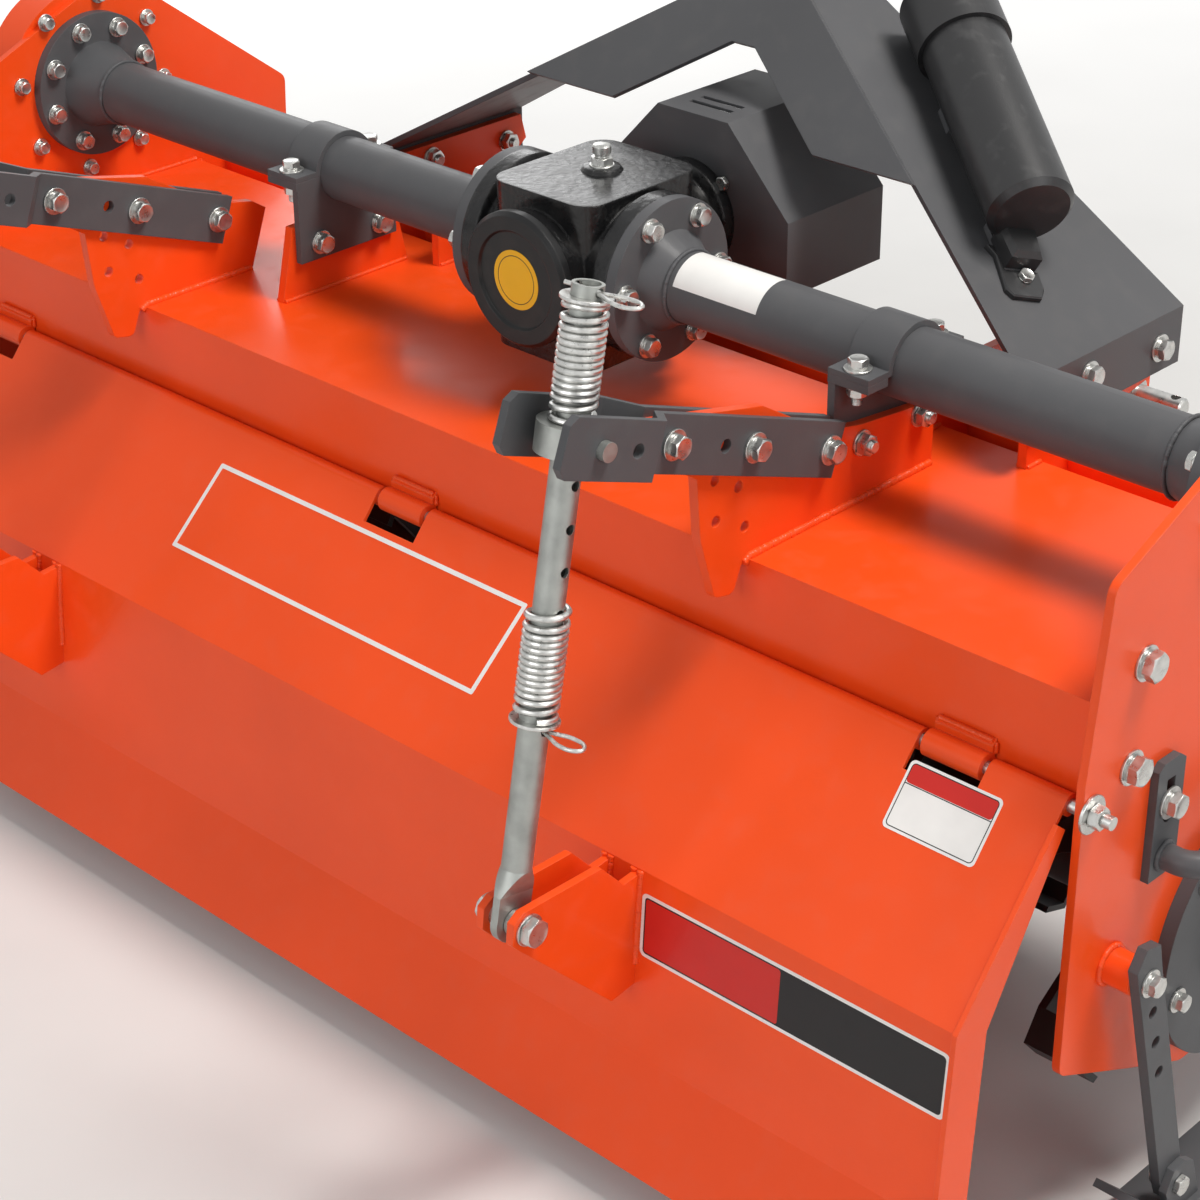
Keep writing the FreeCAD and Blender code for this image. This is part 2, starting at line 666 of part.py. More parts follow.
def clamps():
    """Strap clamps on the cross tubes and the brackets under them."""
    for side, name in SIDES:
        middle = mast_x(side, s.clamp_x)
        outer = s.tube_r + s.clamp_wall
        thing = body("tube_clamp_" + name)
        drawing = sketch(thing, "YZ_Plane", middle - s.clamp_half)
        top = s.tube_z
        outline(drawing, ((-s.clamp_ear, top), (s.clamp_ear, top), (s.clamp_ear, top + s.clamp_wall),
                          (-s.clamp_ear, top + s.clamp_wall)))
        pad(thing, drawing, s.clamp_half * 2)
        ring = sketch(thing, "YZ_Plane", middle - s.clamp_half)
        circle(ring, (0, top), outer)
        pad(thing, ring, s.clamp_half * 2)
        below = sketch(thing, "YZ_Plane", middle - s.clamp_half)
        outline(below, (
            (-outer - 5, top - outer - 5), (outer + 5, top - outer - 5), (outer + 5, top), (-outer - 5, top)))
        pocket(thing, below, reverse=True)
        bore = sketch(thing, "YZ_Plane", middle - s.clamp_half)
        circle(bore, (0, top), s.tube_r)
        pocket(thing, bore, reverse=True)
        bolts = sketch(thing, "XY_Plane", top + 20)
        for y in (-1, 1):
            circle(bolts, (middle, y * (outer + s.clamp_ear) / 2), 5.5)
        pocket(thing, bolts)
        keep("tube_clamp_" + name, thing)
        bracket(side, name, middle, outer)


def bracket(side, name, middle, outer):
    """Bracket under a clamp: an upright web with a flange to the front and one to the rear."""
    thing = body("clamp_bracket_" + name)
    inboard = middle - side * s.clamp_half
    start = inboard if side > 0 else inboard - s.web_width
    web = sketch(thing, "YZ_Plane", start)
    outline(web, ((1 - s.clamp_ear, s.tube_z - 90), (s.clamp_ear - 1, s.tube_z - 90),
                  (s.clamp_ear - 1, s.tube_z), (1 - s.clamp_ear, s.tube_z)))
    pad(thing, web, s.web_width)
    flanges = sketch(thing, "XY_Plane", s.tube_z - 8)
    for y in (-1, 1):
        near, far = (outer, s.clamp_ear) if y > 0 else (-s.clamp_ear, -outer)
        outline(flanges, ((middle - s.clamp_half, near), (middle + s.clamp_half, near),
                          (middle + s.clamp_half, far), (middle - s.clamp_half, far)))
    pad(thing, flanges, 8)
    bore = sketch(thing, "YZ_Plane", start)
    circle(bore, (0, s.tube_z), s.tube_r)
    pocket(thing, bore, reverse=True)
    bolts = sketch(thing, "YZ_Plane", start)
    circle(bolts, (-40, s.tube_z - 72), 6.5)
    circle(bolts, (45, s.tube_z - 72), 6.5)
    pocket(thing, bolts, reverse=True)
    keep("clamp_bracket_" + name, thing)
    if side < 0:
        stand = plate("clamp_stand_left", "YZ_Plane", start - s.stand_width, s.stand_width, (
            (-90, s.deck_z), (90, s.deck_z), (72, s.tube_z - 50), (-72, s.tube_z - 50)))
        keep("clamp_stand_left", stand)


def uprights():
    """Plates on the deck that hold the spring-rod arms; the right one also holds a clamp bracket."""
    slope = tangent(s.arm_slope)

    def beside_arm(far, over):
        """A place over or under the arms' middle line, at a distance behind their front bolt."""
        return s.arm_y - far, s.arm_z + far * slope + over

    last = s.arm_bolt_pitch * 2 * cosine(s.arm_slope)
    for (plane, name), reach in zip(PLANES, (68, -46)):
        tail = ((s.deck_rear - 41, s.deck_z - 24), (s.deck_rear - 17, s.deck_z - 29))
        bend = (s.deck_rear - 61, s.deck_z + 41)
        thing = plate("upright_" + name, "YZ_Plane", plane - s.upright_width / 2, s.upright_width, (
            beside_arm(last + 18, 18), beside_arm(last + 18, -18), (s.deck_rear - 66, s.deck_z + 100),
            bend, *tail, (s.deck_rear - 7, s.deck_z - 5), (s.deck_rear, s.deck_z), (size(reach), s.deck_z),
            (size(max(reach, -22)), s.deck_z + 64), (size(-40), s.deck_z + 76), beside_arm(size(-4), 16),
            beside_arm(size(84), 37)), (
            ((s.arm_y, s.arm_z), 6.5),
            ((s.arm_y - last / 2, s.arm_z + last / 2 * slope), 6.5),
            ((s.arm_y - last, s.arm_z + last * slope), 6.5),
            ((s.deck_rear - 43, s.deck_z + 91), 5.5), ((s.deck_rear - 12, s.deck_z + 74), 5.5),
            ((s.deck_rear - 41, s.deck_z + 51), 5.5), ((s.deck_rear - 3, s.deck_z + 32), 5.5)),
            rounds=((60, (bend,)), (8, tail)))
        keep("upright_" + name, thing)


def arms():
    """Two joggled flats on each upright, with a trunnion collar between their rear ends."""
    near = s.upright_width / 2
    wide = s.collar_r + s.collar_gap
    for plane, name in PLANES:
        pair = []
        for side, which in SIDES:
            thing = body(f"arm_{name}_{which}")
            drawing = sketch(thing, "XY_Plane", -s.arm_half)
            strip(drawing, (
                (side * near, s.arm_nose), (side * near, -s.joggle_at),
                (side * wide, -s.joggle_at - s.joggle_run), (side * wide, -s.arm_length)),
                s.arm_width, left=side > 0)
            pad(thing, drawing, s.arm_half * 2)
            holes = sketch(thing, "YZ_Plane", -100)
            for along in (0, s.arm_bolt_pitch, s.arm_bolt_pitch * 2):
                circle(holes, (-size(along), 0), 6.5)
            circle(holes, (-s.arm_hole_at, 0), 6.5)
            circle(holes, (-s.joggle_at - s.joggle_run - s.arm_hole_behind, 0), 6.5)
            circle(holes, (-s.collar_at, 0), s.pin_r + s.running_fit)
            pocket(thing, holes, reverse=True)
            tip = (thing.Tip, [e for v in (-s.arm_half, s.arm_half)
                               for e in edges_at(thing.Tip.Shape, "YZ_Plane", (-s.arm_length, v))])
            rounding = thing.newObject("PartDesign::Chamfer", thing.Name + "_corners")
            rounding.Base = tip
            rounding.Size = 8
            doc.recompute()
            lean(thing, s.arm_slope)
            at(thing, plane, s.arm_y, s.arm_z)
            pair.append(thing)
        keep("arms_" + name, *pair)


def trunnions():
    """Collar that turns on two pins in the arms; the spring rod slides through it."""
    for plane, name in PLANES:
        inner = s.rod_r + s.rod_gap
        low, high = -s.collar_half, s.collar_half
        collar = turned("collar_" + name, "z", (
            (low, inner), (high, inner), (high, s.collar_r), (low, s.collar_r)))
        pins = [turned(f"pin_{name}_{which}", "x", (
            (side * (s.collar_r - 6), 0), (side * (s.collar_r + s.arm_width + 8), 0),
            (side * (s.collar_r + s.arm_width + 8), s.pin_r), (side * (s.collar_r - 6), s.pin_r)))
            for side, which in SIDES]
        whole = fuse("trunnion_" + name, collar, *pins)
        lean(whole, s.rod_tilt)
        at(whole, plane, trunnion_y, trunnion_z)
        keep("trunnion_" + name, whole)


def spring_rods():
    """Pipe with pin holes and a flattened lower end, and the two springs with their washers."""
    for plane, name in PLANES:
        bore = s.rod_r - s.rod_wall
        eye = -s.rod_length
        round_end = eye + s.pinch_top
        rod = turned("spring_rod_" + name, "z", (
            (eye, 0), (eye, s.tongue_r), (eye + s.pinch_flat, s.tongue_r), (round_end, s.rod_r),
            (s.rod_top, s.rod_r), (s.rod_top, bore), (round_end, bore), (round_end, 0)))
        cheeks = sketch(rod, "XZ_Plane", -60)
        for side, _ in SIDES:
            outline(cheeks, ((side * s.tongue_half, eye - 5), (side * s.tongue_r * 2, eye - 5),
                             (side * s.tongue_r * 2, round_end), (side * s.rod_r, round_end),
                             (side * s.tongue_half, eye + s.pinch_flat)))
        pocket(rod, cheeks, reverse=True)
        tongue = sketch(rod, "YZ_Plane", -s.tongue_half)
        circle(tongue, (0, eye), s.tongue_r)
        pad(rod, tongue, s.tongue_half * 2)
        hole = sketch(rod, "YZ_Plane", -60)
        circle(hole, (0, eye), s.clevis_r + s.clevis_play)
        pocket(rod, hole, reverse=True)
        holes = sketch(rod, "YZ_Plane", -60)
        upper = s.collar_half + s.spring_length + s.seat_width + s.rod_hole_r
        lower = -s.spring_low - s.spring_length - s.seat_width - s.rod_hole_r
        for along in (upper, lower, *(-s.rod_hole_at - s.rod_hole_pitch * count for count in range(4))):
            circle(holes, (0, along), s.rod_hole_r)
        pocket(rod, holes, reverse=True)
        lean(rod, s.rod_tilt)
        at(rod, plane, trunnion_y, trunnion_z)
        keep("spring_rod_" + name, rod)
        parts = []
        inner = s.spring_r - s.spring_wire
        for which, low in (("upper", s.collar_half), ("lower", -s.spring_low - s.spring_length)):
            high = low + s.spring_length
            sleeve = turned(f"spring_{name}_{which}", "z", (
                (low, inner), (high, inner), (high, s.spring_r), (low, s.spring_r)))
            seat = high if which == "upper" else low - s.seat_width
            washer = turned(f"washer_{name}_{which}", "z", (
                (seat, s.rod_r), (seat + s.seat_width, s.rod_r), (seat + s.seat_width, s.spring_r + 2),
                (seat, s.spring_r + 2)))
            parts += [sleeve, washer]
        for thing in parts:
            lean(thing, s.rod_tilt)
            at(thing, plane, trunnion_y, trunnion_z)
        keep("springs_" + name, *parts)


def tailgate():
    """Folded tailgate sheet, curled round the hinge rod and notched for the knuckles, with two end plates."""
    thing = body("tailgate")
    inside = s.gate_x - s.gate_end_width
    drawing = sketch(thing, "YZ_Plane", -inside)
    bends = ((gate_top_y, gate_top_z), (fold1_y, fold1_z), (fold2_y, fold2_z), (gate_low_y, gate_low_z))
    strip(drawing, bends, s.gate_sheet, left=True)
    pad(thing, drawing, inside * 2)
    curl = sketch(thing, "YZ_Plane", -inside)
    circle(curl, (s.hinge_y, s.hinge_z), curl_r)
    circle(curl, (s.hinge_y, s.hinge_z), s.hinge_r + s.running_fit)
    pad(thing, curl, inside * 2)
    reach = 27
    for x in KNUCKLES:
        notch = sketch(thing, "YZ_Plane", x - s.knuckle_half - s.knuckle_gap)
        outline(notch, ((s.hinge_y - reach, s.hinge_z - reach), (s.hinge_y + 20, s.hinge_z - reach),
                        (s.hinge_y + 20, s.hinge_z + 20), (s.hinge_y - reach, s.hinge_z + 20)))
        pocket(thing, notch, reverse=True, length=(s.knuckle_half + s.knuckle_gap) * 2)
    keep("tailgate", thing)
    gate_ends(inside)


def gate_ends(inside):
    """Flat end plates along the tailgate's panels, a little proud of the sheet."""
    def beside(y, z, angle, out):
        return y - out * cosine(angle), z + out * sine(angle)

    def along(y, z, angle, far):
        return y - far * sine(angle), z - far * cosine(angle)

    proud = size(4)
    top = along(gate_top_y, gate_top_z, s.panel1_angle, size(20))
    middle = (s.panel1_angle + s.panel2_angle) / 2
    low = (s.panel2_angle + s.panel3_angle) / 2
    outer = (beside(*top, s.panel1_angle, proud), beside(fold1_y, fold1_z, middle, proud),
             beside(fold2_y, fold2_z, low, proud), beside(gate_low_y, gate_low_z, s.panel3_angle, proud))
    back = proud - s.gate_strip
    inner = (beside(gate_low_y, gate_low_z, s.panel3_angle, back), beside(fold2_y, fold2_z, low, back),
             beside(fold1_y, fold1_z, middle, back), beside(*top, s.panel1_angle, -size(10)))
    ends = []
    for side, name in SIDES:
        start = span(side, inside, s.gate_end_width)
        ends.append(plate(f"gate_end_{name}", "YZ_Plane", start, s.gate_end_width, outer + inner))
    keep("tailgate_ends", *ends)


def clevis_lugs():
    """Lugs welded on the tailgate's second panel and the bolts with spacers through them."""
    lugs = []
    bolts = []
    root_y = fold1_y - 0.25 * s.panel2_length * sine(s.panel2_angle)
    root_z = fold1_z - 0.25 * s.panel2_length * cosine(s.panel2_angle)
    foot_y = fold1_y - 0.62 * s.panel2_length * sine(s.panel2_angle)
    foot_z = fold1_z - 0.62 * s.panel2_length * cosine(s.panel2_angle)
    for plane, name in PLANES:
        for side, which in SIDES:
            start = plane + s.lug_gap if side > 0 else plane - s.lug_gap - s.lug_width
            places = (
                (clevis_y - 10, clevis_z - 18), (clevis_y - 19, clevis_z - 8), (clevis_y - 17, clevis_z + 12),
                (clevis_y - 6, clevis_z + 19), (root_y - 46, clevis_z + 17), (root_y - 18, root_z + 42),
                (fold1_y - 1, fold1_z - 4), (root_y, root_z), (foot_y, foot_z), (foot_y - 30, foot_z - 4))
            lugs.append(plate(f"lug_{name}_{which}", "YZ_Plane", start, s.lug_width, places,
                              (((clevis_y, clevis_z), s.clevis_r),)))
        reach = s.lug_gap + s.lug_width + 10
        inner = s.tongue_half + s.spacer_gap
        spacer_r = s.clevis_r + s.spacer_wall
        bolts.append(turned("clevis_bolt_" + name, "x", (
            (-reach, 0), (reach, 0), (reach, s.clevis_r), (s.lug_gap, s.clevis_r), (s.lug_gap, spacer_r),
            (inner, spacer_r), (inner, s.clevis_r), (-inner, s.clevis_r), (-inner, spacer_r),
            (-s.lug_gap, spacer_r), (-s.lug_gap, s.clevis_r), (-reach, s.clevis_r)),
            clevis_y, clevis_z, plane))
    keep("clevis_lugs", *lugs)
    keep("clevis_bolts", *bolts)


def mast():
    """Folded mast legs, leaning web between them, and the top link lugs."""
    rise = tangent(s.mast_slope)
    for side, name in SIDES:
        def x(distance):
            return mast_x(side, distance)

        def top(distance):
            return s.mast_fold_z + (s.mast_foot_x - distance) * rise

        thing = body("mast_leg_" + name)
        drawing = sketch(thing, "XZ_Plane", -s.mast_front)
        bends = ((x(s.mast_foot_x), s.mast_foot_z), (x(s.mast_foot_x), s.mast_fold_z), (x(20), top(20)))
        strip(drawing, bends, s.mast_sheet, left=side > 0)
        pad(thing, drawing, s.mast_front - 40)

        def rear(distance):
            return s.web_y + (top(distance) - s.web_z) * tangent(s.web_lean)

        inner = s.top_lug_x + s.top_lug_width
        cut = sketch(thing, "XY_Plane", 500)
        outline(cut, ((x(s.mast_foot_x + 20), rear(s.mast_foot_x + 20)), (x(inner), rear(inner)),
                      (x(inner), s.mast_front + 10), (x(10), s.mast_front + 10), (x(10), size(20)),
                      (x(s.mast_foot_x + 20), size(20))))
        pocket(thing, cut, reverse=True)
        keep("mast_leg_" + name, thing)
        lug_plates.append(plate(f"top_lug_{name}", "YZ_Plane", mast_span(side, s.top_lug_x, s.top_lug_width),
                                s.top_lug_width, (
            (s.web_y + 72 * tangent(s.web_lean), s.web_z + 72),
            (s.web_y + 123 * tangent(s.web_lean), s.web_z + 123),
            (s.top_link_y - 95, s.top_link_z + 35), (s.top_link_y + 28, s.top_link_z + 35),
            (s.top_link_y + 28, s.top_link_z - 25), (s.top_link_y - 50, s.top_link_z - 100)),
            (((s.top_link_y, s.top_link_z), s.top_hole_r),),
            rounds=((20, ((s.top_link_y + 28, s.top_link_z + 35), (s.top_link_y + 28, s.top_link_z - 25))),)))
    keep("top_link_lugs", *lug_plates)
    foot = s.mast_foot_x - (s.web_z - s.mast_fold_z) / rise
    up = rise / cosine(s.web_lean)
    web = plate("mast_web", "XZ_Plane", 0, s.mast_sheet, (
        (-foot, 0), (-size(135), 0), (-size(15), 120 * up), (size(15), 120 * up), (size(135), 0), (foot, 0),
        (foot - 150 / up, 150), (150 / up - foot, 150)))
    lean(web, s.web_lean)
    at(web, s.gearbox_x, s.web_y, s.web_z)
    keep("mast_web", web)


lug_plates = []


def hitch():
    """Beams under the mast's feet, and the hitch plates with the studs for the lower links."""
    bar_front = s.bar_y + s.bar_side
    bar_top = s.bar_z + s.bar_side
    drop = (s.deck_z - s.skirt_top) / (s.skirt_y - s.deck_front)

    def slope(y):
        return s.deck_z - (y - s.deck_front) * drop

    for side, name in SIDES:
        beam = plate("mast_beam_" + name, "YZ_Plane", mast_span(side, s.beam_x, s.beam_width), s.beam_width, (
            (s.beam_rear, s.deck_z), (s.deck_front, s.deck_z), (s.bar_y, slope(s.bar_y)), (s.bar_y, bar_top),
            (bar_front, bar_top), (s.mast_front - 40, bar_top + 12), (s.mast_front - 4, bar_top + 40),
            (s.mast_front - 12, s.beam_top), (s.beam_rear, s.beam_top)))
        keep("mast_beam_" + name, beam)
        near = s.hitch_x - s.shoulder_width - s.hitch_width
        flat = plate("hitch_plate_" + name, "YZ_Plane", mast_span(side, near, s.hitch_width), s.hitch_width, (
            (size(96), s.deck_z), (s.deck_front, s.deck_z), (s.bar_y, slope(s.bar_y)), (s.bar_y, bar_top),
            (bar_front, bar_top), (bar_front, slope(bar_front)), (s.skirt_y, s.skirt_top),
            (s.hitch_y - 24, s.hitch_z - 32), (s.hitch_y + 35, s.hitch_z - 32),
            (s.hitch_y + 35, s.hitch_z + 32), (s.hitch_y - 24, s.hitch_z + 36),
            (bar_front + 40, bar_top + 40), (size(96), bar_top + 40)),
            (((s.hitch_y, s.hitch_z), s.hitch_pin_r),),
            rounds=((30, ((s.hitch_y + 35, s.hitch_z - 32), (s.hitch_y + 35, s.hitch_z + 32))),))
        keep("hitch_plate_" + name, flat)
        start = near - s.hitch_pin_thread
        shoulder = s.hitch_x - s.shoulder_width
        end = s.hitch_x + s.hitch_pin_free
        stud = turned("hitch_pin_" + name, "x", [(side * a, r) for a, r in (
            (start, 0), (end, 0), (end, s.hitch_pin_r - 2), (end - 2, s.hitch_pin_r),
            (s.hitch_x, s.hitch_pin_r), (s.hitch_x, s.shoulder_r), (shoulder, s.shoulder_r),
            (shoulder, s.hitch_pin_r), (start, s.hitch_pin_r))],
            s.hitch_y, s.hitch_z, s.gearbox_x)
        linch = sketch(stud, "XY_Plane", 40)
        circle(linch, (side * (s.hitch_x + s.linch_hole_at), 0), s.linch_hole_r)
        pocket(stud, linch)
        keep("hitch_pin_" + name, stud)


def document_tube():
    """Black document tube on the right mast leg, with its cap and two pads under it."""
    along = FreeCAD.Vector(-0.752, 0.481, 0.451)
    lean = math.radians(s.mast_slope.value)
    normal = FreeCAD.Vector(math.sin(lean), 0, math.cos(lean))
    turn = FreeCAD.Rotation(along, FreeCAD.Vector(0, 1, 0), normal, "ZXY")
    base_x = s.gearbox_x + 345
    base_z = s.mast_fold_z + (s.mast_foot_x - 345) * tangent(s.mast_slope)
    tube = turned("document_tube", "x", (
        (0, 0), (s.tube_case_length, 0), (s.tube_case_length, s.tube_case_r), (6, s.tube_case_r),
        (0, s.tube_case_r - 6)))
    cap = turned("document_tube_cap", "x", (
        (s.tube_case_length, 0), (s.tube_case_length + s.tube_cap_length, 0),
        (s.tube_case_length + s.tube_cap_length, s.tube_cap_r - 5),
        (s.tube_case_length + s.tube_cap_length - 5, s.tube_cap_r), (s.tube_case_length, s.tube_cap_r)))
    pads = []
    for number, (low, high) in enumerate(((-34, 26), (150, 180))):
        pads.append(plate(f"document_pad_{number}", "XY_Plane", -s.tube_lift, s.tube_lift - s.tube_case_r, (
            (size(low), size(-18)), (size(high), size(-18)), (size(high), size(18)), (size(low), size(18)))))
    for thing in (tube, cap, *pads):
        thing.Placement = FreeCAD.Placement(FreeCAD.Vector(0, 0, 0), turn)
        at(thing, base_x + s.tube_lift * sine(s.mast_slope), 215, base_z + s.tube_lift * cosine(s.mast_slope))
    keep("document_tube", tube)
    keep("document_tube_cap", cap)
    keep("document_tube_pads", *pads)


def gear_case():
    """Side gear case on the left plate, and the bearing carrier on the right one."""
    thing = body("gear_case_left")
    drawing = sketch(thing, "YZ_Plane", -s.side_x - s.side_width - s.case_width)
    belt(drawing, (size(0), s.tube_z), s.case_top_r, (s.rotor_y, s.rotor_z), s.case_low_r)
    pad(thing, drawing, s.case_width)
    bore = sketch(thing, "YZ_Plane", -s.side_x - s.side_width)
    circle(bore, (s.rotor_y, s.rotor_z), s.journal_r + s.running_fit)
    pocket(thing, bore, length=26)
    keep("gear_case_left", thing)
    face = s.side_x + s.side_width
    far = face + s.carrier_boss
    keep("bearing_carrier_right", turned("bearing_carrier_right", "x", (
        (face, s.journal_r + s.running_fit), (face + 20, s.journal_r + s.running_fit), (face + 20, 0),
        (far, 0), (far, s.carrier_boss_r - 6), (face + s.carrier_width, s.carrier_boss_r),
        (face + s.carrier_width, s.carrier_r), (face, s.carrier_r)), s.rotor_y, s.rotor_z))


def belt(drawing, top, top_r, low, low_r):
    """Two circles joined by their outer tangents, as one closed line."""
    a, b = point(top), point(low)
    run = b - a
    gap = run.Length
    base = math.atan2(run.y, run.x)
    spread = math.acos((top_r.value - low_r.value) / gap)
    ends = []
    for turn in (1, -1):
        way = FreeCAD.Vector(math.cos(base + turn * spread), math.sin(base + turn * spread), 0)
        ends.append((a + way * top_r.value, b + way * low_r.value))
    over = a - run.normalize() * top_r.value
    under = b + run.normalize() * low_r.value
    drawing.addGeometry(Part.Arc(ends[0][0], over, ends[1][0]), False)
    drawing.addGeometry(Part.LineSegment(ends[1][0], ends[1][1]), False)
    drawing.addGeometry(Part.Arc(ends[1][1], under, ends[0][1]), False)
    drawing.addGeometry(Part.LineSegment(ends[0][1], ends[0][0]), False)

    def end_near(geometry, place):
        return 1 if (drawing.getPoint(geometry, 1) - place).Length < 0.01 else 2

    for arc, line, place in ((0, 1, ends[1][0]), (2, 1, ends[1][1]), (2, 3, ends[0][1]), (0, 3, ends[0][0])):
        ends_met = (arc, end_near(arc, place), line, end_near(line, place))
        drawing.addConstraint(Sketcher.Constraint("Tangent", *ends_met))
    for arc, place, radius in ((0, top, top_r), (2, low, low_r)):
        number = drawing.addConstraint(Sketcher.Constraint("Radius", arc, radius.value))
        drawing.setExpression(f"Constraints[{number}]", radius.text)
        hold(drawing, arc, 3, place)


def rotor():
    """Rotor tube with journals, and seven tine wheels of six bent tines each."""
    end = s.side_x - s.rotor_end_gap
    tip = s.side_x + s.side_width + 18
    keep("rotor_tube", turned("rotor_tube", "x", (
        (-tip, 0), (tip, 0), (tip, s.journal_r), (end, s.journal_r), (end, s.rotor_r), (-end, s.rotor_r),
        (-end, s.journal_r), (-tip, s.journal_r)), s.rotor_y, s.rotor_z))
    wheels = []
    for number in range(7):
        wheels.append(tine_wheel(number))
    keep("tine_wheels", *wheels)


def tine_wheel(number):
    """A disc with three tines bent to the right and three to the left, between them in turn."""
    thing = body(f"tine_wheel_{number}")
    disc = sketch(thing, "YZ_Plane", -s.wheel_width / 2)
    circle(disc, (0, 0), s.wheel_r)
    circle(disc, (0, 0), s.rotor_r)
    pad(thing, disc, s.wheel_width)
    axis = next(f for f in thing.Origin.OriginFeatures if f.Role == "X_Axis")
    for side, turn in ((1, 0), (-1, 60)):
        start = s.wheel_width / 2 if side > 0 else -s.wheel_width / 2 - s.tine_width
        twist = FreeCAD.Rotation(FreeCAD.Vector(0, 0, 1), turn)
        leg = sketch(thing, "YZ_Plane", start)
        leg.AttachmentOffset = FreeCAD.Placement(FreeCAD.Vector(0, 0, 0), twist)
        bind(leg, "AttachmentOffset.Base.z", start)
        outline(leg, ((-24, size(48)), (24, size(48)), (22, s.wheel_r + 14), (8, s.swing_r - 70),
                      (-8, s.swing_r - 31), (-34, s.swing_r - 6), (-62, s.swing_r - 22), (-44, s.swing_r - 46),
                      (-30, s.swing_r - 82), (-26, s.wheel_r + 14)))
        upper = pad(thing, leg, s.tine_width)
        near = start if side > 0 else start + s.tine_width - s.tine_foot
        foot = sketch(thing, "YZ_Plane", near)
        foot.AttachmentOffset = FreeCAD.Placement(FreeCAD.Vector(0, 0, 0), twist)
        bind(foot, "AttachmentOffset.Base.z", near)
        outline(foot, ((-8, s.swing_r - 31), (-34, s.swing_r - 6), (-62, s.swing_r - 22), (-60, s.swing_r - 29),
                       (-35, s.swing_r - 14), (-14, s.swing_r - 34)))
        lower = pad(thing, foot, s.tine_foot)
        ring = thing.newObject("PartDesign::PolarPattern", thing.Name + "_ring")
        ring.Originals = [upper, lower]
        ring.Axis = (axis, [""])
        ring.Angle = 360
        ring.Occurrences = 3
        thing.Tip = ring
        doc.recompute()
    phase = FreeCAD.Rotation(FreeCAD.Vector(1, 0, 0), 17 * number)
    thing.Placement = FreeCAD.Placement(FreeCAD.Vector(0, 0, 0), phase)
    at(thing, s.wheel_pitch * (number - 3), s.rotor_y, s.rotor_z)
    return thing


def skids():
    """Skid runners under the side plates, held by a slotted arm at the rear and a lug in front."""
    face = s.side_x + s.side_width
    for side, name in SIDES:
        stub = turned("skid_stub_" + name, "x", (
            (side * face, 0), (side * (face + s.arm_stub), 0),
            (side * (face + s.arm_stub), 17), (side * face, 17)),
            s.stub_y, s.stub_z)
        keep("skid_stub_" + name, stub)
        holes = [((s.stub_y + 11, s.stub_z - 37), 6), ((s.stub_y + 21, s.stub_z - 74), 6),
                 ((s.stub_y + 32, s.stub_z - 112), 6), ((s.skid_bolt_y, s.skid_bolt_z), 6)]
        start = span(side, face + s.arm_stub, s.skid_arm_width)
        arm = plate("skid_arm_" + name, "YZ_Plane", start, s.skid_arm_width, (
            (s.stub_y - 20, s.stub_z + 18), (s.stub_y - 8, s.stub_z + 37), (s.stub_y + 12, s.stub_z + 33),
            (s.stub_y + 18, s.stub_z + 8), (s.skid_bolt_y + 17, s.skid_bolt_z + 2),
            (s.skid_bolt_y + 8, s.skid_bolt_z - 17), (s.skid_bolt_y - 11, s.skid_bolt_z - 14),
            (s.skid_bolt_y - 18, s.skid_bolt_z + 4)), holes)
        keep("skid_arm_" + name, arm)
        runner = body("skid_runner_" + name)
        drawing = sketch(runner, "YZ_Plane", span(side, s.skid_x - s.skid_half, s.skid_half * 2))
        bends = ((size(-140), size(42)), (size(-95), size(0)), (size(140), size(0)), (size(262), size(110)))
        strip(drawing, bends, s.skid_sheet, left=True)
        pad(runner, drawing, s.skid_half * 2)
        ear = plate("skid_ear_" + name, "YZ_Plane", span(side, face + s.arm_stub + s.skid_arm_width, 8), 8, (
            (s.skid_bolt_y - 8, s.skid_sheet), (s.skid_bolt_y + 37, s.skid_sheet),
            (s.skid_bolt_y + 22, s.skid_bolt_z + 14), (s.skid_bolt_y + 8, s.skid_bolt_z + 22),
            (s.skid_bolt_y - 10, s.skid_bolt_z + 20), (s.skid_bolt_y - 20, s.skid_bolt_z)),
            (((s.skid_bolt_y, s.skid_bolt_z), 6),))
        lug = plate("skid_lug_" + name, "YZ_Plane", span(side, face, 8), 8, (
            (size(165), size(33)), (size(248), size(108)), (size(230), size(222)), (size(190), size(232)),
            (size(172), size(205))), (((size(205), size(207)), 6.5),))
        keep("skid_" + name, fuse("skid_" + name, runner, ear, lug))


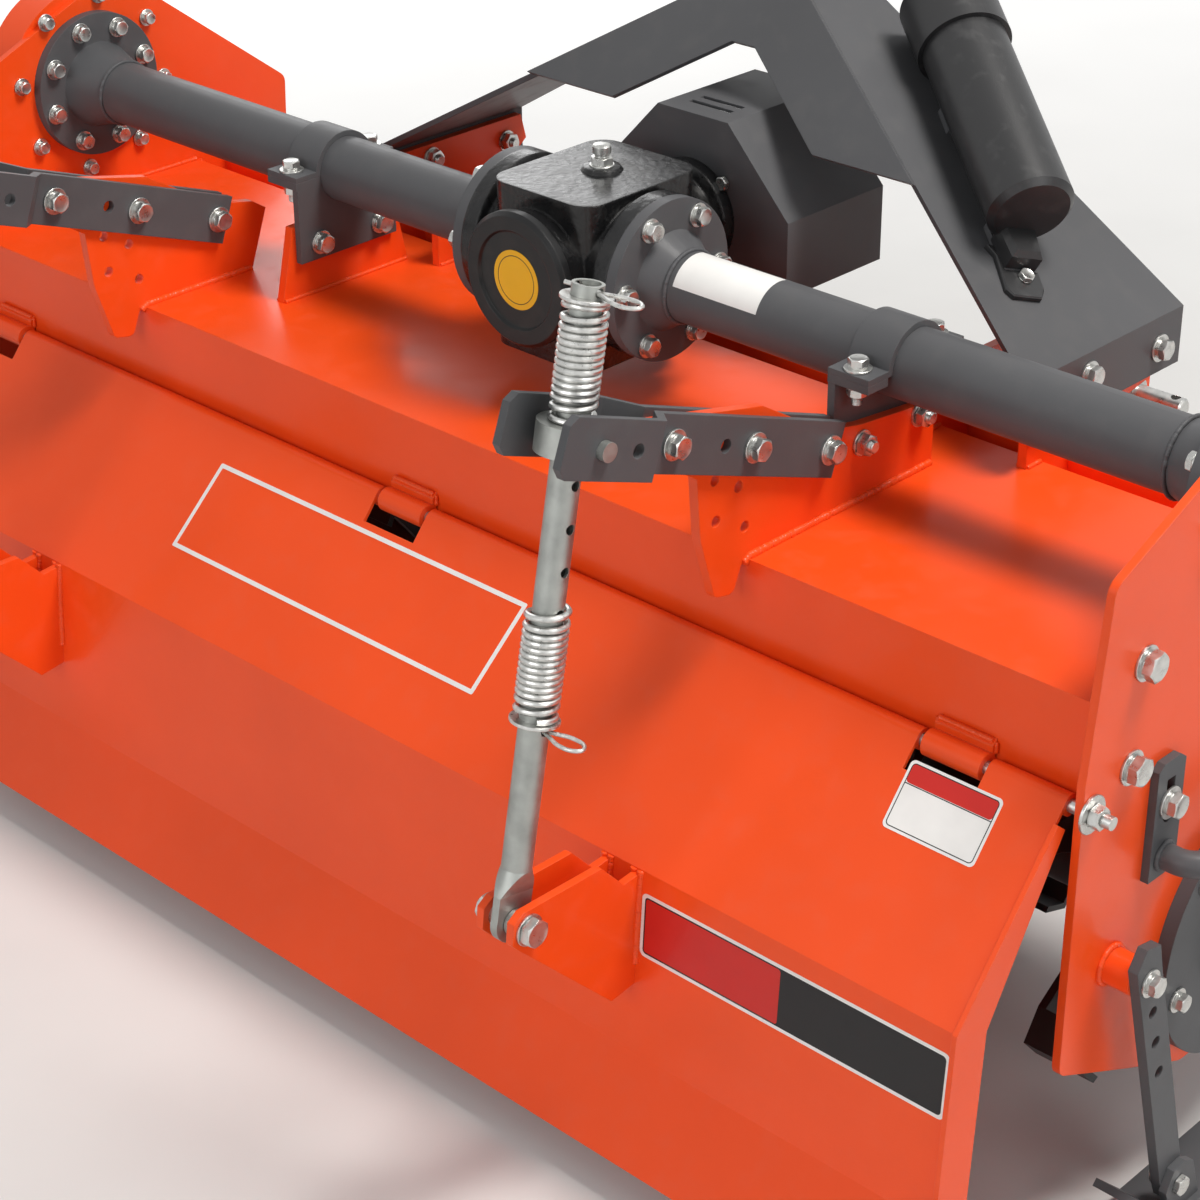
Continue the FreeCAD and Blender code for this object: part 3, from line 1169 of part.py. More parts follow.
def side_guard():
    """Tubular side guard on two slotted plates outside the right side plate."""
    face = s.side_x + s.side_width
    plates = []
    for y in (-102, 190):
        slot = (
            (size(y - 6), size(436)), (size(y + 6), size(436)),
            (size(y + 6), size(462)), (size(y - 6), size(462)))
        plates.append(plate(f"guard_plate_{'rear' if y < 0 else 'front'}", "YZ_Plane", face, 8, (
            (size(y - 20), s.guard_z - 20), (size(y + 20), s.guard_z - 20), (size(y + 20), size(474)),
            (size(y + 12), size(480)), (size(y - 12), size(480)), (size(y - 20), size(474))),
            (((size(y), size(425)), 6.5),), (slot,)))
    keep("guard_plates", *plates)
    thing = body("side_guard")
    path = sketch(thing, "XY_Plane", s.guard_z)
    rear, front, near, far, bend = -102, 190, face.value + 8, s.guard_x.value, 22
    a, b, c, d = (FreeCAD.Vector(near, rear, 0), FreeCAD.Vector(far - bend, rear, 0),
                  FreeCAD.Vector(far, rear + bend, 0), FreeCAD.Vector(far, front - bend, 0))
    e, f = FreeCAD.Vector(far - bend, front, 0), FreeCAD.Vector(near, front, 0)
    k = bend * (1 - math.sqrt(0.5))
    path.addGeometry(Part.LineSegment(a, b), False)
    path.addGeometry(Part.Arc(b, FreeCAD.Vector(far - k, rear + k, 0), c), False)
    path.addGeometry(Part.LineSegment(c, d), False)
    path.addGeometry(Part.Arc(d, FreeCAD.Vector(far - k, front - k, 0), e), False)
    path.addGeometry(Part.LineSegment(e, f), False)
    profile = sketch(thing, "YZ_Plane", face + 8)
    circle(profile, (rear, s.guard_z), s.guard_r)
    pipe = thing.newObject("PartDesign::AdditivePipe", "side_guard_pipe")
    pipe.Profile = profile
    pipe.Spine = (path, [f"Edge{i}" for i in range(1, 6)])
    doc.recompute()
    keep("side_guard", thing)


side_plates()
hood()
hinge()
cross_tubes()
gearbox()
input_shaft()
shield()
clamps()
uprights()
arms()
trunnions()
spring_rods()
tailgate()
clevis_lugs()
mast()
hitch()
document_tube()
gear_case()
rotor()
skids()
side_guard()
doc.recompute()

for thing in doc.Objects:
    if "Invalid" in thing.State or "Error" in thing.State:
        raise ValueError(f"{thing.Label}: {thing.State}")
for node in nodes:
    if node.Shape.isNull() or not node.Shape.isValid() or not node.Shape.Solids:
        raise ValueError(f"{node.Label}: no valid solid")
    node.Shape.exportStep(f"parts/{node.Label}.step")
    print(node.Label, len(node.Shape.Solids), round(node.Shape.Volume / 1000), "cm3")
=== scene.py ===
# Rotavator: the looks of a rear three-point-hitch rotary tiller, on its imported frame.
# Frame: +X to the machine's right, +Y forward, +Z up, ground at Z = 0, all in metres. Sizes in the
# sections are in millimetres, as on the drawings, and mm() and the mesh helpers turn them to metres.
import math

import bmesh
import bpy
from mathutils import Matrix, Vector, noise


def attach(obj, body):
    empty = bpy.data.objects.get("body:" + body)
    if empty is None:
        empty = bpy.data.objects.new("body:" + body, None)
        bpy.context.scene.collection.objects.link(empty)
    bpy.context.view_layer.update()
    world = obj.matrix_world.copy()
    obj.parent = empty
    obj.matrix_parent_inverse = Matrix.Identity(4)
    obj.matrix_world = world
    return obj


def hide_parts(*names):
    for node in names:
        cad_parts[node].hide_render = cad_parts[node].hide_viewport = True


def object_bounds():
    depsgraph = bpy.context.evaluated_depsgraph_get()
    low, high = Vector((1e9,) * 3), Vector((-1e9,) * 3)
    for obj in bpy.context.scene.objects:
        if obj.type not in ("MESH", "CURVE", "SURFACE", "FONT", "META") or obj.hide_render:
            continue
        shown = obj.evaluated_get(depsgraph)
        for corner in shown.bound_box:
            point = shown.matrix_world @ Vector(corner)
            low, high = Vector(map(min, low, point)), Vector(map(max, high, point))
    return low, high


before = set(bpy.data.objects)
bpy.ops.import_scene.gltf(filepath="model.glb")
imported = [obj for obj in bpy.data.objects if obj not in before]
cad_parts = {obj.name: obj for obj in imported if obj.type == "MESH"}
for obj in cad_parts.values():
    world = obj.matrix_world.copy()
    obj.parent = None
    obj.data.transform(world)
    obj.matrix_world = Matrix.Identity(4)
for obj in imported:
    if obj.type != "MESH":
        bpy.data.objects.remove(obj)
cad_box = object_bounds()

# Hood, side plates, tailgate and uprights: sheet steel, welded, blasted and sprayed in one gloss
# orange coat. The coat lies a little cloudy, with fine orange peel, and pales on sharp edges.


class Tone:
    """One socket of a finish. Sums and products of Tones add Math nodes; node() adds any other kind."""

    def __init__(self, tree, socket=None):
        self.tree = tree
        self.socket = socket

    def node(self, kind, settings=None, sockets=None, output=0):
        made = self.tree.nodes.new(kind)
        for name, value in (settings or {}).items():
            setattr(made, name, value)
        for name, value in (sockets or {}).items():
            if isinstance(value, Tone):
                self.tree.links.new(value.socket, made.inputs[name])
            else:
                made.inputs[name].default_value = value
        return Tone(self.tree, made.outputs[output] if made.outputs else None)

    def math(self, operation, *values):
        return self.node("ShaderNodeMath", {"operation": operation}, dict(enumerate(values)))

    def __add__(self, other):
        return self.math("ADD", self, other)

    def __mul__(self, other):
        return self.math("MULTIPLY", self, other)

    def __rsub__(self, other):
        return self.math("SUBTRACT", other, self)

    __radd__ = __add__
    __rmul__ = __mul__

    def between(self, low, high):
        """0 under low, 1 over high, and an even rise from one to the other."""
        ends = {"Value": self, "From Min": low, "From Max": high}
        return self.node("ShaderNodeMapRange", {"clamp": True}, ends)

    def mix(self, low, high):
        """The colour low where this Tone is 0, and high where it is 1."""
        return self.node("ShaderNodeMix", {"data_type": "RGBA"}, {0: self, 6: low, 7: high}, 2)

    def cloud(self, scale, detail=3.0):
        """Soft random patches about 1 / scale metres wide, fixed to the piece."""
        place = self.node("ShaderNodeTexCoord", output="Object")
        return self.node("ShaderNodeTexNoise", {}, {"Vector": place, "Scale": scale, "Detail": detail})

    def bump(self, depth, under=None):
        """The normal where this Tone is a height of so many metres, on the normal that lies under it."""
        sockets = {"Strength": 1.0, "Distance": depth, "Height": self}
        if under:
            sockets["Normal"] = under
        return self.node("ShaderNodeBump", {}, sockets)


def start_finish(name):
    material = bpy.data.materials.new(name)
    material.use_nodes = True
    material.node_tree.nodes.clear()
    return material, Tone(material.node_tree)


def end_finish(tone, sockets):
    shader = tone.node("ShaderNodeBsdfPrincipled", {}, sockets)
    tone.node("ShaderNodeOutputMaterial", {}, {"Surface": shader})


def shade(colour, factor):
    """The colour made darker or paler, opaque."""
    return (colour[0] * factor, colour[1] * factor, colour[2] * factor, 1.0)


def sprayed(name, colour, edge, roughness, coat, shine, grain=0.0, round_off=0.0012):
    """Sprayed paint over steel or iron, with an optional coarse grain of the casting under it."""
    material, tone = start_finish(name)
    rounded = tone.node("ShaderNodeBevel", {"samples": 4}, {"Radius": round_off})
    flat = tone.node("ShaderNodeNewGeometry", output="Normal")
    along = tone.node("ShaderNodeVectorMath", {"operation": "DOT_PRODUCT"}, {0: rounded, 1: flat}, "Value")
    worn = (1.0 - along).between(0.02, 0.22) * tone.cloud(90.0, 5.0).between(0.42, 0.62)
    cloudy = tone.cloud(4.0).between(0.3, 0.7)
    body = cloudy.mix(shade(colour, 0.93), shade(colour, 1.05))
    dust = tone.cloud(38.0, 6.0).between(0.5, 0.85)
    dusted = (dust * 0.03).mix(body, (0.55, 0.5, 0.44, 1.0))
    surface = tone.cloud(420.0, 2.0).bump(0.00005, rounded)
    if grain:
        cast = tone.cloud(150.0, 6.0) + tone.cloud(33.0, 3.0) * 1.5
        surface = cast.bump(grain, surface)
    end_finish(tone, {
        "Base Color": (worn * 0.6).mix(dusted, edge),
        "Roughness": roughness + dust * 0.16 + worn * 0.1,
        "Specular IOR Level": shine,
        "Coat Weight": (1.0 - dust * 0.3) * coat,
        "Coat Roughness": 0.16,
        "Normal": surface,
    })
    return material


def dress(finish, names):
    """Puts a finish in the slots of the named nodes."""
    for name in names.split():
        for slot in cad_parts[name].material_slots:
            slot.material = finish


orange = sprayed("orange_gloss", (0.86, 0.076, 0.008), (0.90, 0.20, 0.07, 1.0), 0.37, 0.15, shine=0.24)
dress(orange, "hood side_plate_right side_plate_left front_crossbar hinge_knuckles clamp_stand_left "
      "upright_right upright_left tailgate tailgate_ends clevis_lugs mast_beam_right mast_beam_left "
      "hitch_plate_right hitch_plate_left gear_case_left skid_stub_right skid_stub_left")

# Weld beads: short runs of arc weld laid by hand round the feet of the lugs, uprights, knuckles
# and stubs and along the hood's ends, painted over with the sheet.


def link(name, mesh, body, finish, sharp=35.0):
    """Turns a finished mesh into a named piece that rides on a body."""
    data = bpy.data.meshes.new(name)
    bmesh.ops.recalc_face_normals(mesh, faces=mesh.faces)
    mesh.to_mesh(data)
    mesh.free()
    data.polygons.foreach_set("use_smooth", [True] * len(data.polygons))
    data.set_sharp_from_angle(angle=math.radians(sharp))
    piece = bpy.data.objects.new(name, data)
    bpy.context.scene.collection.objects.link(piece)
    data.materials.append(finish)
    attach(piece, body)
    return piece


def mm(x, y, z):
    return Vector((x, y, z)) / 1000.0


def tube_along(mesh, points, radii, sides):
    """A round skin along a line of points in metres, one radius a point, closed at both ends."""
    rings = []
    across = None
    for i, here in enumerate(points):
        ahead = (points[min(i + 1, len(points) - 1)] - points[max(i - 1, 0)]).normalized()
        if across is None:
            across = ahead.orthogonal().normalized()
        across = (across - ahead * across.dot(ahead)).normalized()
        beside = ahead.cross(across)
        ring = []
        for k in range(sides):
            turn = 2 * math.pi * k / sides
            out = across * math.cos(turn) + beside * math.sin(turn)
            ring.append(mesh.verts.new(here + out * radii[i]))
        rings.append(ring)
    for low, high in zip(rings, rings[1:]):
        for k in range(sides):
            mesh.faces.new((low[k - 1], low[k], high[k], high[k - 1]))
    mesh.faces.new(rings[0])
    mesh.faces.new(reversed(rings[-1]))


def bead(mesh, corners, size, ripple=2.6):
    """A weld bead of that radius through the corner points, with a ripple of that length."""
    step = ripple / 3.0
    points = []
    radii = []
    travelled = 0.0
    for start, end in zip(corners, corners[1:]):
        a, b = mm(*start), mm(*end)
        count = max(2, int((b - a).length * 1000 / step))
        for i in range(count):
            here = a.lerp(b, i / count)
            uneven = noise.noise(here * 260)
            phase = (travelled / ripple) % 1.0
            points.append(here + Vector((uneven, -uneven, uneven)) * 0.0003)
            radii.append(size / 1000 * (0.86 + 0.16 * math.sin(math.pi * phase) + 0.12 * uneven))
            travelled += step
    points.append(mm(*corners[-1]))
    radii.append(size / 1000 * 0.7)
    tube_along(mesh, points, radii, 7)


def circle(y, z, radius, count, start=0.0):
    """(angle, y, z) at even steps round an axis along X, the first again at the end."""
    turns = [2 * math.pi * (i + start) / count for i in range(count + 1)]
    return [(turn, y + radius * math.cos(turn), z + radius * math.sin(turn)) for turn in turns]


right_plane, left_plane = 398, -452
deck = 566
side_plate = 773.5
gearbox_x = 25
stub_y, stub_z = -157, 298
frame_welds = bmesh.new()
for plane, reach in ((right_plane, 66), (left_plane, -48)):
    for face in (plane - 5, plane + 5):
        bead(frame_welds, ((face, -200, 562), (face, -193, deck), (face, reach, deck)), 4.6, 3.4)
for knuckle in (-685, -25, 650):
    bead(frame_welds, ((knuckle - 28, -199, 494), (knuckle + 28, -199, 494)), 3.0)
    for side in (-30.5, 30.5):
        bead(frame_welds, ((knuckle + side, -198, 483), (knuckle + side, -198, 493)), 2.2)
for side in (1, -1):
    bead(frame_welds, ((side * side_plate, -195, deck), (side * side_plate, 138, deck)), 3.4)
    bead(frame_welds, ((side * side_plate, 143, 563), (side * side_plate, 183, 522)), 3.2)
    bead(frame_welds, [(side * 784, y, z) for _, y, z in circle(stub_y, stub_z, 17.5, 24)], 3.4)
for inner, outer, start in ((442, 452, 117), (323.5, 333.5, 98)):
    for side in (1, -1):
        for x in (gearbox_x + side * inner, gearbox_x + side * outer):
            bead(frame_welds, ((x, start, deck), (x, 139, deck)), 3.0)
for x in (-353.5, -342.5):
    bead(frame_welds, ((x, -88, deck), (x, 88, deck)), 3.0)
link("hood_welds", frame_welds, "frame", orange, 60)

gate_welds = bmesh.new()
for plane in (right_plane, left_plane):
    for side in (1, -1):
        for face in (14, 22):
            x = plane + side * face
            bead(gate_welds, ((x, -349.2, 320), (x, -354.0, 272), (x, -357.4, 224)), 4.2, 3.4)
link("lug_welds", gate_welds, "tailgate", orange, 60)

# Cross tubes, clamps, arms, mast, shaft shield, skids and guard: heavier steel in a satin
# charcoal coat, which also covers the beads that join the tubes' hubs and flanges.
charcoal = sprayed(
    "charcoal_satin", (0.083, 0.084, 0.089), (0.16, 0.16, 0.165, 1.0), 0.48, 0.06, shine=0.18)
dress(charcoal, "cross_tube_right cross_tube_left shaft_shield tube_clamp_right clamp_bracket_right "
      "tube_clamp_left clamp_bracket_left arms_right arms_left mast_leg_right mast_leg_left "
      "top_link_lugs mast_web document_tube_pads bearing_carrier_right skid_arm_right skid_arm_left "
      "skid_right skid_left guard_plates side_guard")
tube_z = 695
guard_z = 385
tube_welds = bmesh.new()
for x in (158, -108, 714, -714):
    bead(tube_welds, [(x, y, z) for _, y, z in circle(0, tube_z, 36, 32)], 2.4)
for plate in (-102, 190):
    bead(tube_welds, [(792, y, z) for _, y, z in circle(plate, guard_z, 12.5, 24)], 2.6)
link("tube_welds", tube_welds, "frame", charcoal, 60)

# Gearbox: grey iron casting in gloss black, with the grain of the sand mould under the paint, and
# its round rear cap, which carries a plain yellow disc with a thin black ring.
casting = sprayed(
    "black_casting", (0.007, 0.007, 0.0075), (0.04, 0.04, 0.04, 1.0), 0.26, 0.35, shine=0.2,
    grain=0.0011, round_off=0.004)
cap_paint = sprayed(
    "black_cap", (0.008, 0.008, 0.0085), (0.04, 0.04, 0.04, 1.0), 0.34, 0.2, shine=0.2,
    round_off=0.002)
dress(casting, "gearbox_housing")
dress(cap_paint, "gearbox_cap")


def lathe(mesh, place, rings, sides):
    """Rings round an axis, each (height, radius), where both may be functions of the angle; ends closed."""
    loops = []
    for height, radius in rings:
        loop = []
        for i in range(sides):
            turn = 2 * math.pi * i / sides
            r = radius(turn) if callable(radius) else radius
            h = height(turn) if callable(height) else height
            loop.append(mesh.verts.new(place @ mm(r * math.cos(turn), r * math.sin(turn), h)))
        loops.append(loop)
    for low, high in zip(loops, loops[1:]):
        for i in range(sides):
            mesh.faces.new((low[i - 1], low[i], high[i], high[i - 1]))
    mesh.faces.new(loops[0])
    mesh.faces.new(reversed(loops[-1]))


def facing(centre, axis, turn=0.0):
    """A place at a point in millimetres whose Z points along the axis."""
    aim = Vector(axis).to_track_quat("Z", "Y").to_matrix().to_4x4()
    return Matrix.Translation(mm(*centre)) @ aim @ Matrix.Rotation(turn, 4, "Z")


def printed(name, colour):
    """Printed vinyl under a clear film, faintly uneven."""
    material, tone = start_finish(name)
    cloudy = tone.cloud(25.0).between(0.3, 0.7)
    end_finish(tone, {
        "Base Color": cloudy.mix(shade(colour, 0.95), shade(colour, 1.03)),
        "Roughness": 0.36 + tone.cloud(60.0, 4.0).between(0.45, 0.8) * 0.15,
        "Specular IOR Level": 0.25,
        "Coat Weight": 0.1,
        "Coat Roughness": 0.15,
        "Normal": tone.cloud(900.0, 2.0).bump(0.00002),
    })
    return material


yellow_print = printed("yellow_print", (0.80, 0.42, 0.008))
black_print = printed("black_print", (0.012, 0.012, 0.013))
disc = bmesh.new()
disc_rings = ((0, 29.6), (0.25, 30), (0.4, 29.8), (0.42, 26.5), (0.42, 8))
lathe(disc, facing((gearbox_x, -101.0, tube_z), (0, -1, 0)), disc_rings, 64)
link("cap_disc", disc, "frame", yellow_print)
rule = bmesh.new()
rule_rings = ((0, 24.6), (0.1, 24.6), (0.1, 23.8), (0, 23.8))
lathe(rule, facing((gearbox_x, -101.4, tube_z), (0, -1, 0)), rule_rings, 64)
link("cap_disc_ring", rule, "frame", black_print)

# Gearbox screws: zinc-plated hexagon hardware, cold-headed with chamfered corners. Each screw of
# the two flanges stands on a split spring ring and a flat washer.


def plated(name, colour, roughness, mottle):
    """Zinc plate: dull silver with clouds in its tone and polish."""
    material, tone = start_finish(name)
    cloudy = tone.cloud(mottle, 5.0).between(0.32, 0.68)
    rounded = tone.node("ShaderNodeBevel", {"samples": 3}, {"Radius": 0.0004})
    end_finish(tone, {
        "Base Color": cloudy.mix(shade(colour, 0.82), shade(colour, 1.08)),
        "Metallic": 0.92,
        "Roughness": roughness + cloudy * 0.14,
        "Normal": tone.cloud(700.0, 3.0).bump(0.00004, rounded),
    })
    return material


zinc = plated("bright_zinc", (0.56, 0.56, 0.54), 0.24, 120.0)


def hexagon(flat):
    """Radius of a hexagon at an angle, from half the distance across its flats."""
    return lambda turn: flat / math.cos((turn % (math.pi / 3)) - math.pi / 6)


def chamfered(flat, top, up=1):
    """Height of a hexagon's chamfered end at an angle: lower at the corners."""
    return lambda turn: top - up * max(0.0, hexagon(flat)(turn) - flat * 0.99) * 0.62


def flat_washer(mesh, place, radius, bore):
    """Washer on the face that a screw or nut stands on. Gives the height of its top."""
    thick = 2.4
    lathe(mesh, place, (
        (0, radius - 0.3), (0.4, radius), (2.1, radius), (thick, radius - 0.4), (thick, bore)), 32)
    return thick


def screw(mesh, centre, axis, flat, head, washer, ring=True, turn=0.3):
    """Hexagon head on its spring ring and washer."""
    place = facing(centre, axis, turn)
    level = flat_washer(mesh, place, washer, flat) if washer else 0.0
    if ring:
        wide = flat * 1.02
        lathe(mesh, place, (
            (level - 0.2, wide - 0.2), (level + 0.2, wide), (level + 2.0, wide),
            (level + 2.3, wide - 0.3)), 28)
        level += 2.2
    top = level + head
    lathe(mesh, place, (
        (level, flat * 0.96), (level + 0.5, hexagon(flat)), (chamfered(flat, top - 0.3), hexagon(flat)),
        (top, flat * 0.93), (top - 0.5, flat * 0.74), (top - 0.5, 0.5)), 36)


def nut(mesh, centre, axis, flat=9.5, height=9.5, stud=6.0, out=5.0, washer=12.5, turn=0.1):
    """Hexagon nut on a washer, with the screw's threaded end through it."""
    place = facing(centre, axis, turn)
    level = flat_washer(mesh, place, washer, flat) if washer else 0.0
    top = level + height
    lathe(mesh, place, (
        (level, flat * 0.93), (chamfered(flat, level + 0.3, -1), hexagon(flat)),
        (chamfered(flat, top - 0.3), hexagon(flat)), (top, flat * 0.93), (top, stud + 0.4),
        (top - 1.0, stud)), 36)
    rings = [(top - 1.5, stud)]
    along = top - 1.0
    while along < top + out - 1.5:
        rings += [(along, stud), (along + 0.75, stud - 0.55)]
        along += 1.5
    rings += [(top + out - 1.0, stud), (top + out, stud - 1.0)]
    lathe(mesh, place, rings, 24)


gearbox_screws = bmesh.new()
for face, way in ((135, 1), (-85, -1)):
    for degrees in (-2, 58, 118, 178, 238, 298):
        a = math.radians(degrees)
        centre = (face, 67 * math.cos(a), tube_z + 67 * math.sin(a))
        screw(gearbox_screws, centre, (way, 0, 0), 8.5, 7, 12, turn=a)
for x in (-20, 70):
    for z in (652, 738):
        screw(gearbox_screws, (x, 148, z), (0, -1, 0), 6.5, 5.5, 0, ring=False)
link("gearbox_screws", gearbox_screws, "frame", zinc)

# Filler plug: a zinc hexagon plug with a domed breather cap. It is screwed into a low round boss,
# which is cast on the gearbox's lid and painted with it.
plug_y = 19
lid_boss = bmesh.new()
boss_rings = ((0, 22), (3, 19.5), (5, 18.5), (5.5, 17.5), (5.5, 6))
lathe(lid_boss, facing((gearbox_x, plug_y, 774), (0, 0, 1)), boss_rings, 40)
link("plug_boss", lid_boss, "frame", casting)
plug = bmesh.new()
place = facing((gearbox_x, plug_y, 779), (0, 0, 1), 0.4)
lathe(plug, place, ((0, 12.0), (0.4, 12.4), (1.6, 12.4), (2, 12)), 32)
lathe(plug, place, (
    (1.8, 9.3), (2.4, hexagon(10)), (chamfered(10, 9.5), hexagon(10)), (10, 9.2), (10, 3)), 36)
lathe(plug, place, (
    (9.5, 7.2), (12.5, 7.2), (13, 8.6), (13.6, 9.3), (20.2, 9.3), (21.6, 8.3), (22.3, 6), (22.5, 1)), 32)
link("filler_plug", plug, "frame", zinc)

# Tailgate arms: three screws pass through both flats of a pair and the upright between them, with
# nuts on the far side. They stand in a line that rises to the rear with the arm.
arm_y, arm_z, arm_slope = -94, 637, math.radians(20.4)
arm_screws = bmesh.new()
for plane in (right_plane, left_plane):
    for along, turn in ((0, 0.2), (110, 0.7), (220, 0.45)):
        y = arm_y - along * math.cos(arm_slope)
        z = arm_z + along * math.sin(arm_slope)
        screw(arm_screws, (plane + 13, y, z), (1, 0, 0), 9.5, 7.5, 14, turn=turn)
        nut(arm_screws, (plane - 13, y, z), (-1, 0, 0), turn=turn)
link("arm_screws", arm_screws, "frame", zinc)

# Tube clamps: two upright screws pull each clamp's halves together round the tube, and two level
# ones hold its bracket to the upright on the right and to the stand on the left.
clamp_screws = bmesh.new()
for middle, web, back, way in ((408, 385, 403, 1), (-358, -335, -353, -1)):
    for y, turn in ((-55, 0.5), (55, 0.15)):
        screw(clamp_screws, (middle, y, 701), (0, 0, 1), 8.5, 7, 13, turn=turn)
        nut(clamp_screws, (middle, y, 687), (0, 0, -1), 8.5, 8.5, 5, 9, 11, turn=turn)
    for y in (-40, 45):
        screw(clamp_screws, (web, y, 623), (-way, 0, 0), 9.5, 7.5, 13, turn=0.35)
        nut(clamp_screws, (back, y, 623), (way, 0, 0), turn=0.6)
link("clamp_screws", clamp_screws, "frame", zinc)

# Mast feet: two screws hold each leg's folded foot to the outside of its beam, with their nuts
# on the beam's inner face.
mast_screws = bmesh.new()
for side in (1, -1):
    for y, z, turn in ((199, 636, 0.1), (318, 626, 0.8)):
        screw(mast_screws, (gearbox_x + side * 458, y, z), (side, 0, 0), 9.5, 7.5, 14, turn=turn)
        nut(mast_screws, (gearbox_x + side * 442, y, z), (-side, 0, 0), turn=turn)
link("mast_screws", mast_screws, "frame", zinc)

# Side plates: two large screws near the rear edge, washers and nuts on the ends of the hinge rod,
# and a ring of screws each for the tubes' end flanges, the gear case's head and the bearing
# carrier.
outer_face = 783
hinge_y, hinge_z = -209, 473.4
rotor_y, rotor_z = 45, 245
side_screws = bmesh.new()
for side in (1, -1):
    for y, z, turn in ((-148, 588, 0.15), (-155, 493, 0.55)):
        screw(side_screws, (side * outer_face, y, z), (side, 0, 0), 12, 10, 16, turn=turn)
    place = facing((side * outer_face, hinge_y, hinge_z), (side, 0, 0))
    lathe(side_screws, place, ((0, 17), (0.5, 17.5), (2.5, 17.5), (3, 16.9), (3, 9)), 40)
    nut(side_screws, (side * 786, hinge_y, hinge_z), (side, 0, 0), 9.5, 10, 6.1, 8, 0, turn=0.2)
    for a, y, z in circle(0, tube_z, 68, 8, 0.4)[:-1]:
        screw(side_screws, (side * 763, y, z), (-side, 0, 0), 8, 6.5, 11.5, turn=a)
for a, y, z in circle(0, tube_z, 68, 8, 0.4)[:-1]:
    nut(side_screws, (outer_face, y, z), (1, 0, 0), 8, 7.5, 5, 4, 11, turn=a)
    centre = (-775, 101 * math.cos(a + 0.3), tube_z + 101 * math.sin(a + 0.3))
    screw(side_screws, centre, (1, 0, 0), 6.5, 5.5, 10, turn=a)
for a, y, z in circle(rotor_y, rotor_z, 112, 6, 0.25)[:-1]:
    screw(side_screws, (797, y, z), (1, 0, 0), 8, 6.5, 12, turn=a)
link("side_screws", side_screws, "frame", zinc)

# Side gear case: screws round the rim of its cover, and a level plug. The case narrows from the
# rotor's end to the cross tube, so the screws follow its two arcs and the straight runs between.
case_face = -829
case_screws = bmesh.new()
top_centre, low_centre = Vector((0, tube_z)), Vector((rotor_y, rotor_z))
top_rim, low_rim = 97, 107
run = low_centre - top_centre
lean_out = math.asin((low_rim - top_rim) / run.length)
aim = math.atan2(run.y, run.x)
rim = []
for i in range(6):
    a = aim + math.pi / 2 + lean_out + (math.pi - 2 * lean_out) * i / 5
    rim.append(top_centre + Vector((math.cos(a), math.sin(a))) * top_rim)
for i in range(6):
    a = aim - math.pi / 2 - lean_out + (math.pi + 2 * lean_out) * i / 5
    rim.append(low_centre + Vector((math.cos(a), math.sin(a))) * low_rim)
for start, end in ((rim[5], rim[6]), (rim[11], rim[0])):
    rim += [start.lerp(end, share) for share in (0.25, 0.5, 0.75)]
for number, spot in enumerate(rim):
    centre = (case_face, spot.x, spot.y)
    screw(case_screws, centre, (-1, 0, 0), 6.5, 5.3, 0, ring=False, turn=number * 0.8)
screw(case_screws, (case_face, 62, 330), (-1, 0, 0), 11, 6.5, 14, ring=False, turn=0.3)
link("case_screws", case_screws, "frame", zinc)

# Skids, guard and document tube: the same hardware. A screw holds each skid's arm to its stub, one
# joins arm and runner, and one holds the front lug. The guard hangs from screws in its slots.
mast_slope = math.radians(31)
mast_out = (math.sin(mast_slope), 0, math.cos(mast_slope))
skid_screws = bmesh.new()
for side in (1, -1):
    screw(skid_screws, (side * 823, stub_y, stub_z), (side, 0, 0), 9, 7, 13, turn=0.5)
    screw(skid_screws, (side * 831, -82, 39), (side, 0, 0), 9, 6.2, 0, ring=False, turn=0.2)
    nut(skid_screws, (side * 813, -82, 39), (-side, 0, 0), 9, 8, 5.5, 3, 0, turn=0.2)
    screw(skid_screws, (side * 791, 205, 207), (side, 0, 0), 9, 7, 13, turn=0.9)
for y in (-102, 190):
    screw(skid_screws, (791, y, 438), (1, 0, 0), 10.5, 8.5, 15, turn=0.4)
screw(skid_screws, (403, 197, 709.5), mast_out, 7, 5.5, 11, turn=0.4)
link("skid_screws", skid_screws, "frame", zinc)

# Lower hitch studs: each stands in its plate with a shoulder outside, and a large nut on a washer
# draws it up from the inside.
hitch_nuts = bmesh.new()
for side in (1, -1):
    nut(hitch_nuts, (gearbox_x + side * 323.5, 475, 490), (-side, 0, 0), 16, 17, 11.1, 3, 19, turn=0.25)
link("hitch_nuts", hitch_nuts, "frame", zinc)

# Clevis bolts: each carries the eye of a spring rod between two lugs of the tailgate, with its
# head and washer on the right and its nut on the left.
clevis_y, clevis_z = -489.23, 329.14
clevis_screws = bmesh.new()
for plane in (right_plane, left_plane):
    screw(clevis_screws, (plane + 22, clevis_y, clevis_z), (1, 0, 0), 12, 9.5, 15, ring=False, turn=0.35)
    nut(clevis_screws, (plane - 22, clevis_y, clevis_z), (-1, 0, 0), 12, 8.5, 8.1, 4, 0, turn=0.1)
link("clevis_screws", clevis_screws, "tailgate", zinc)

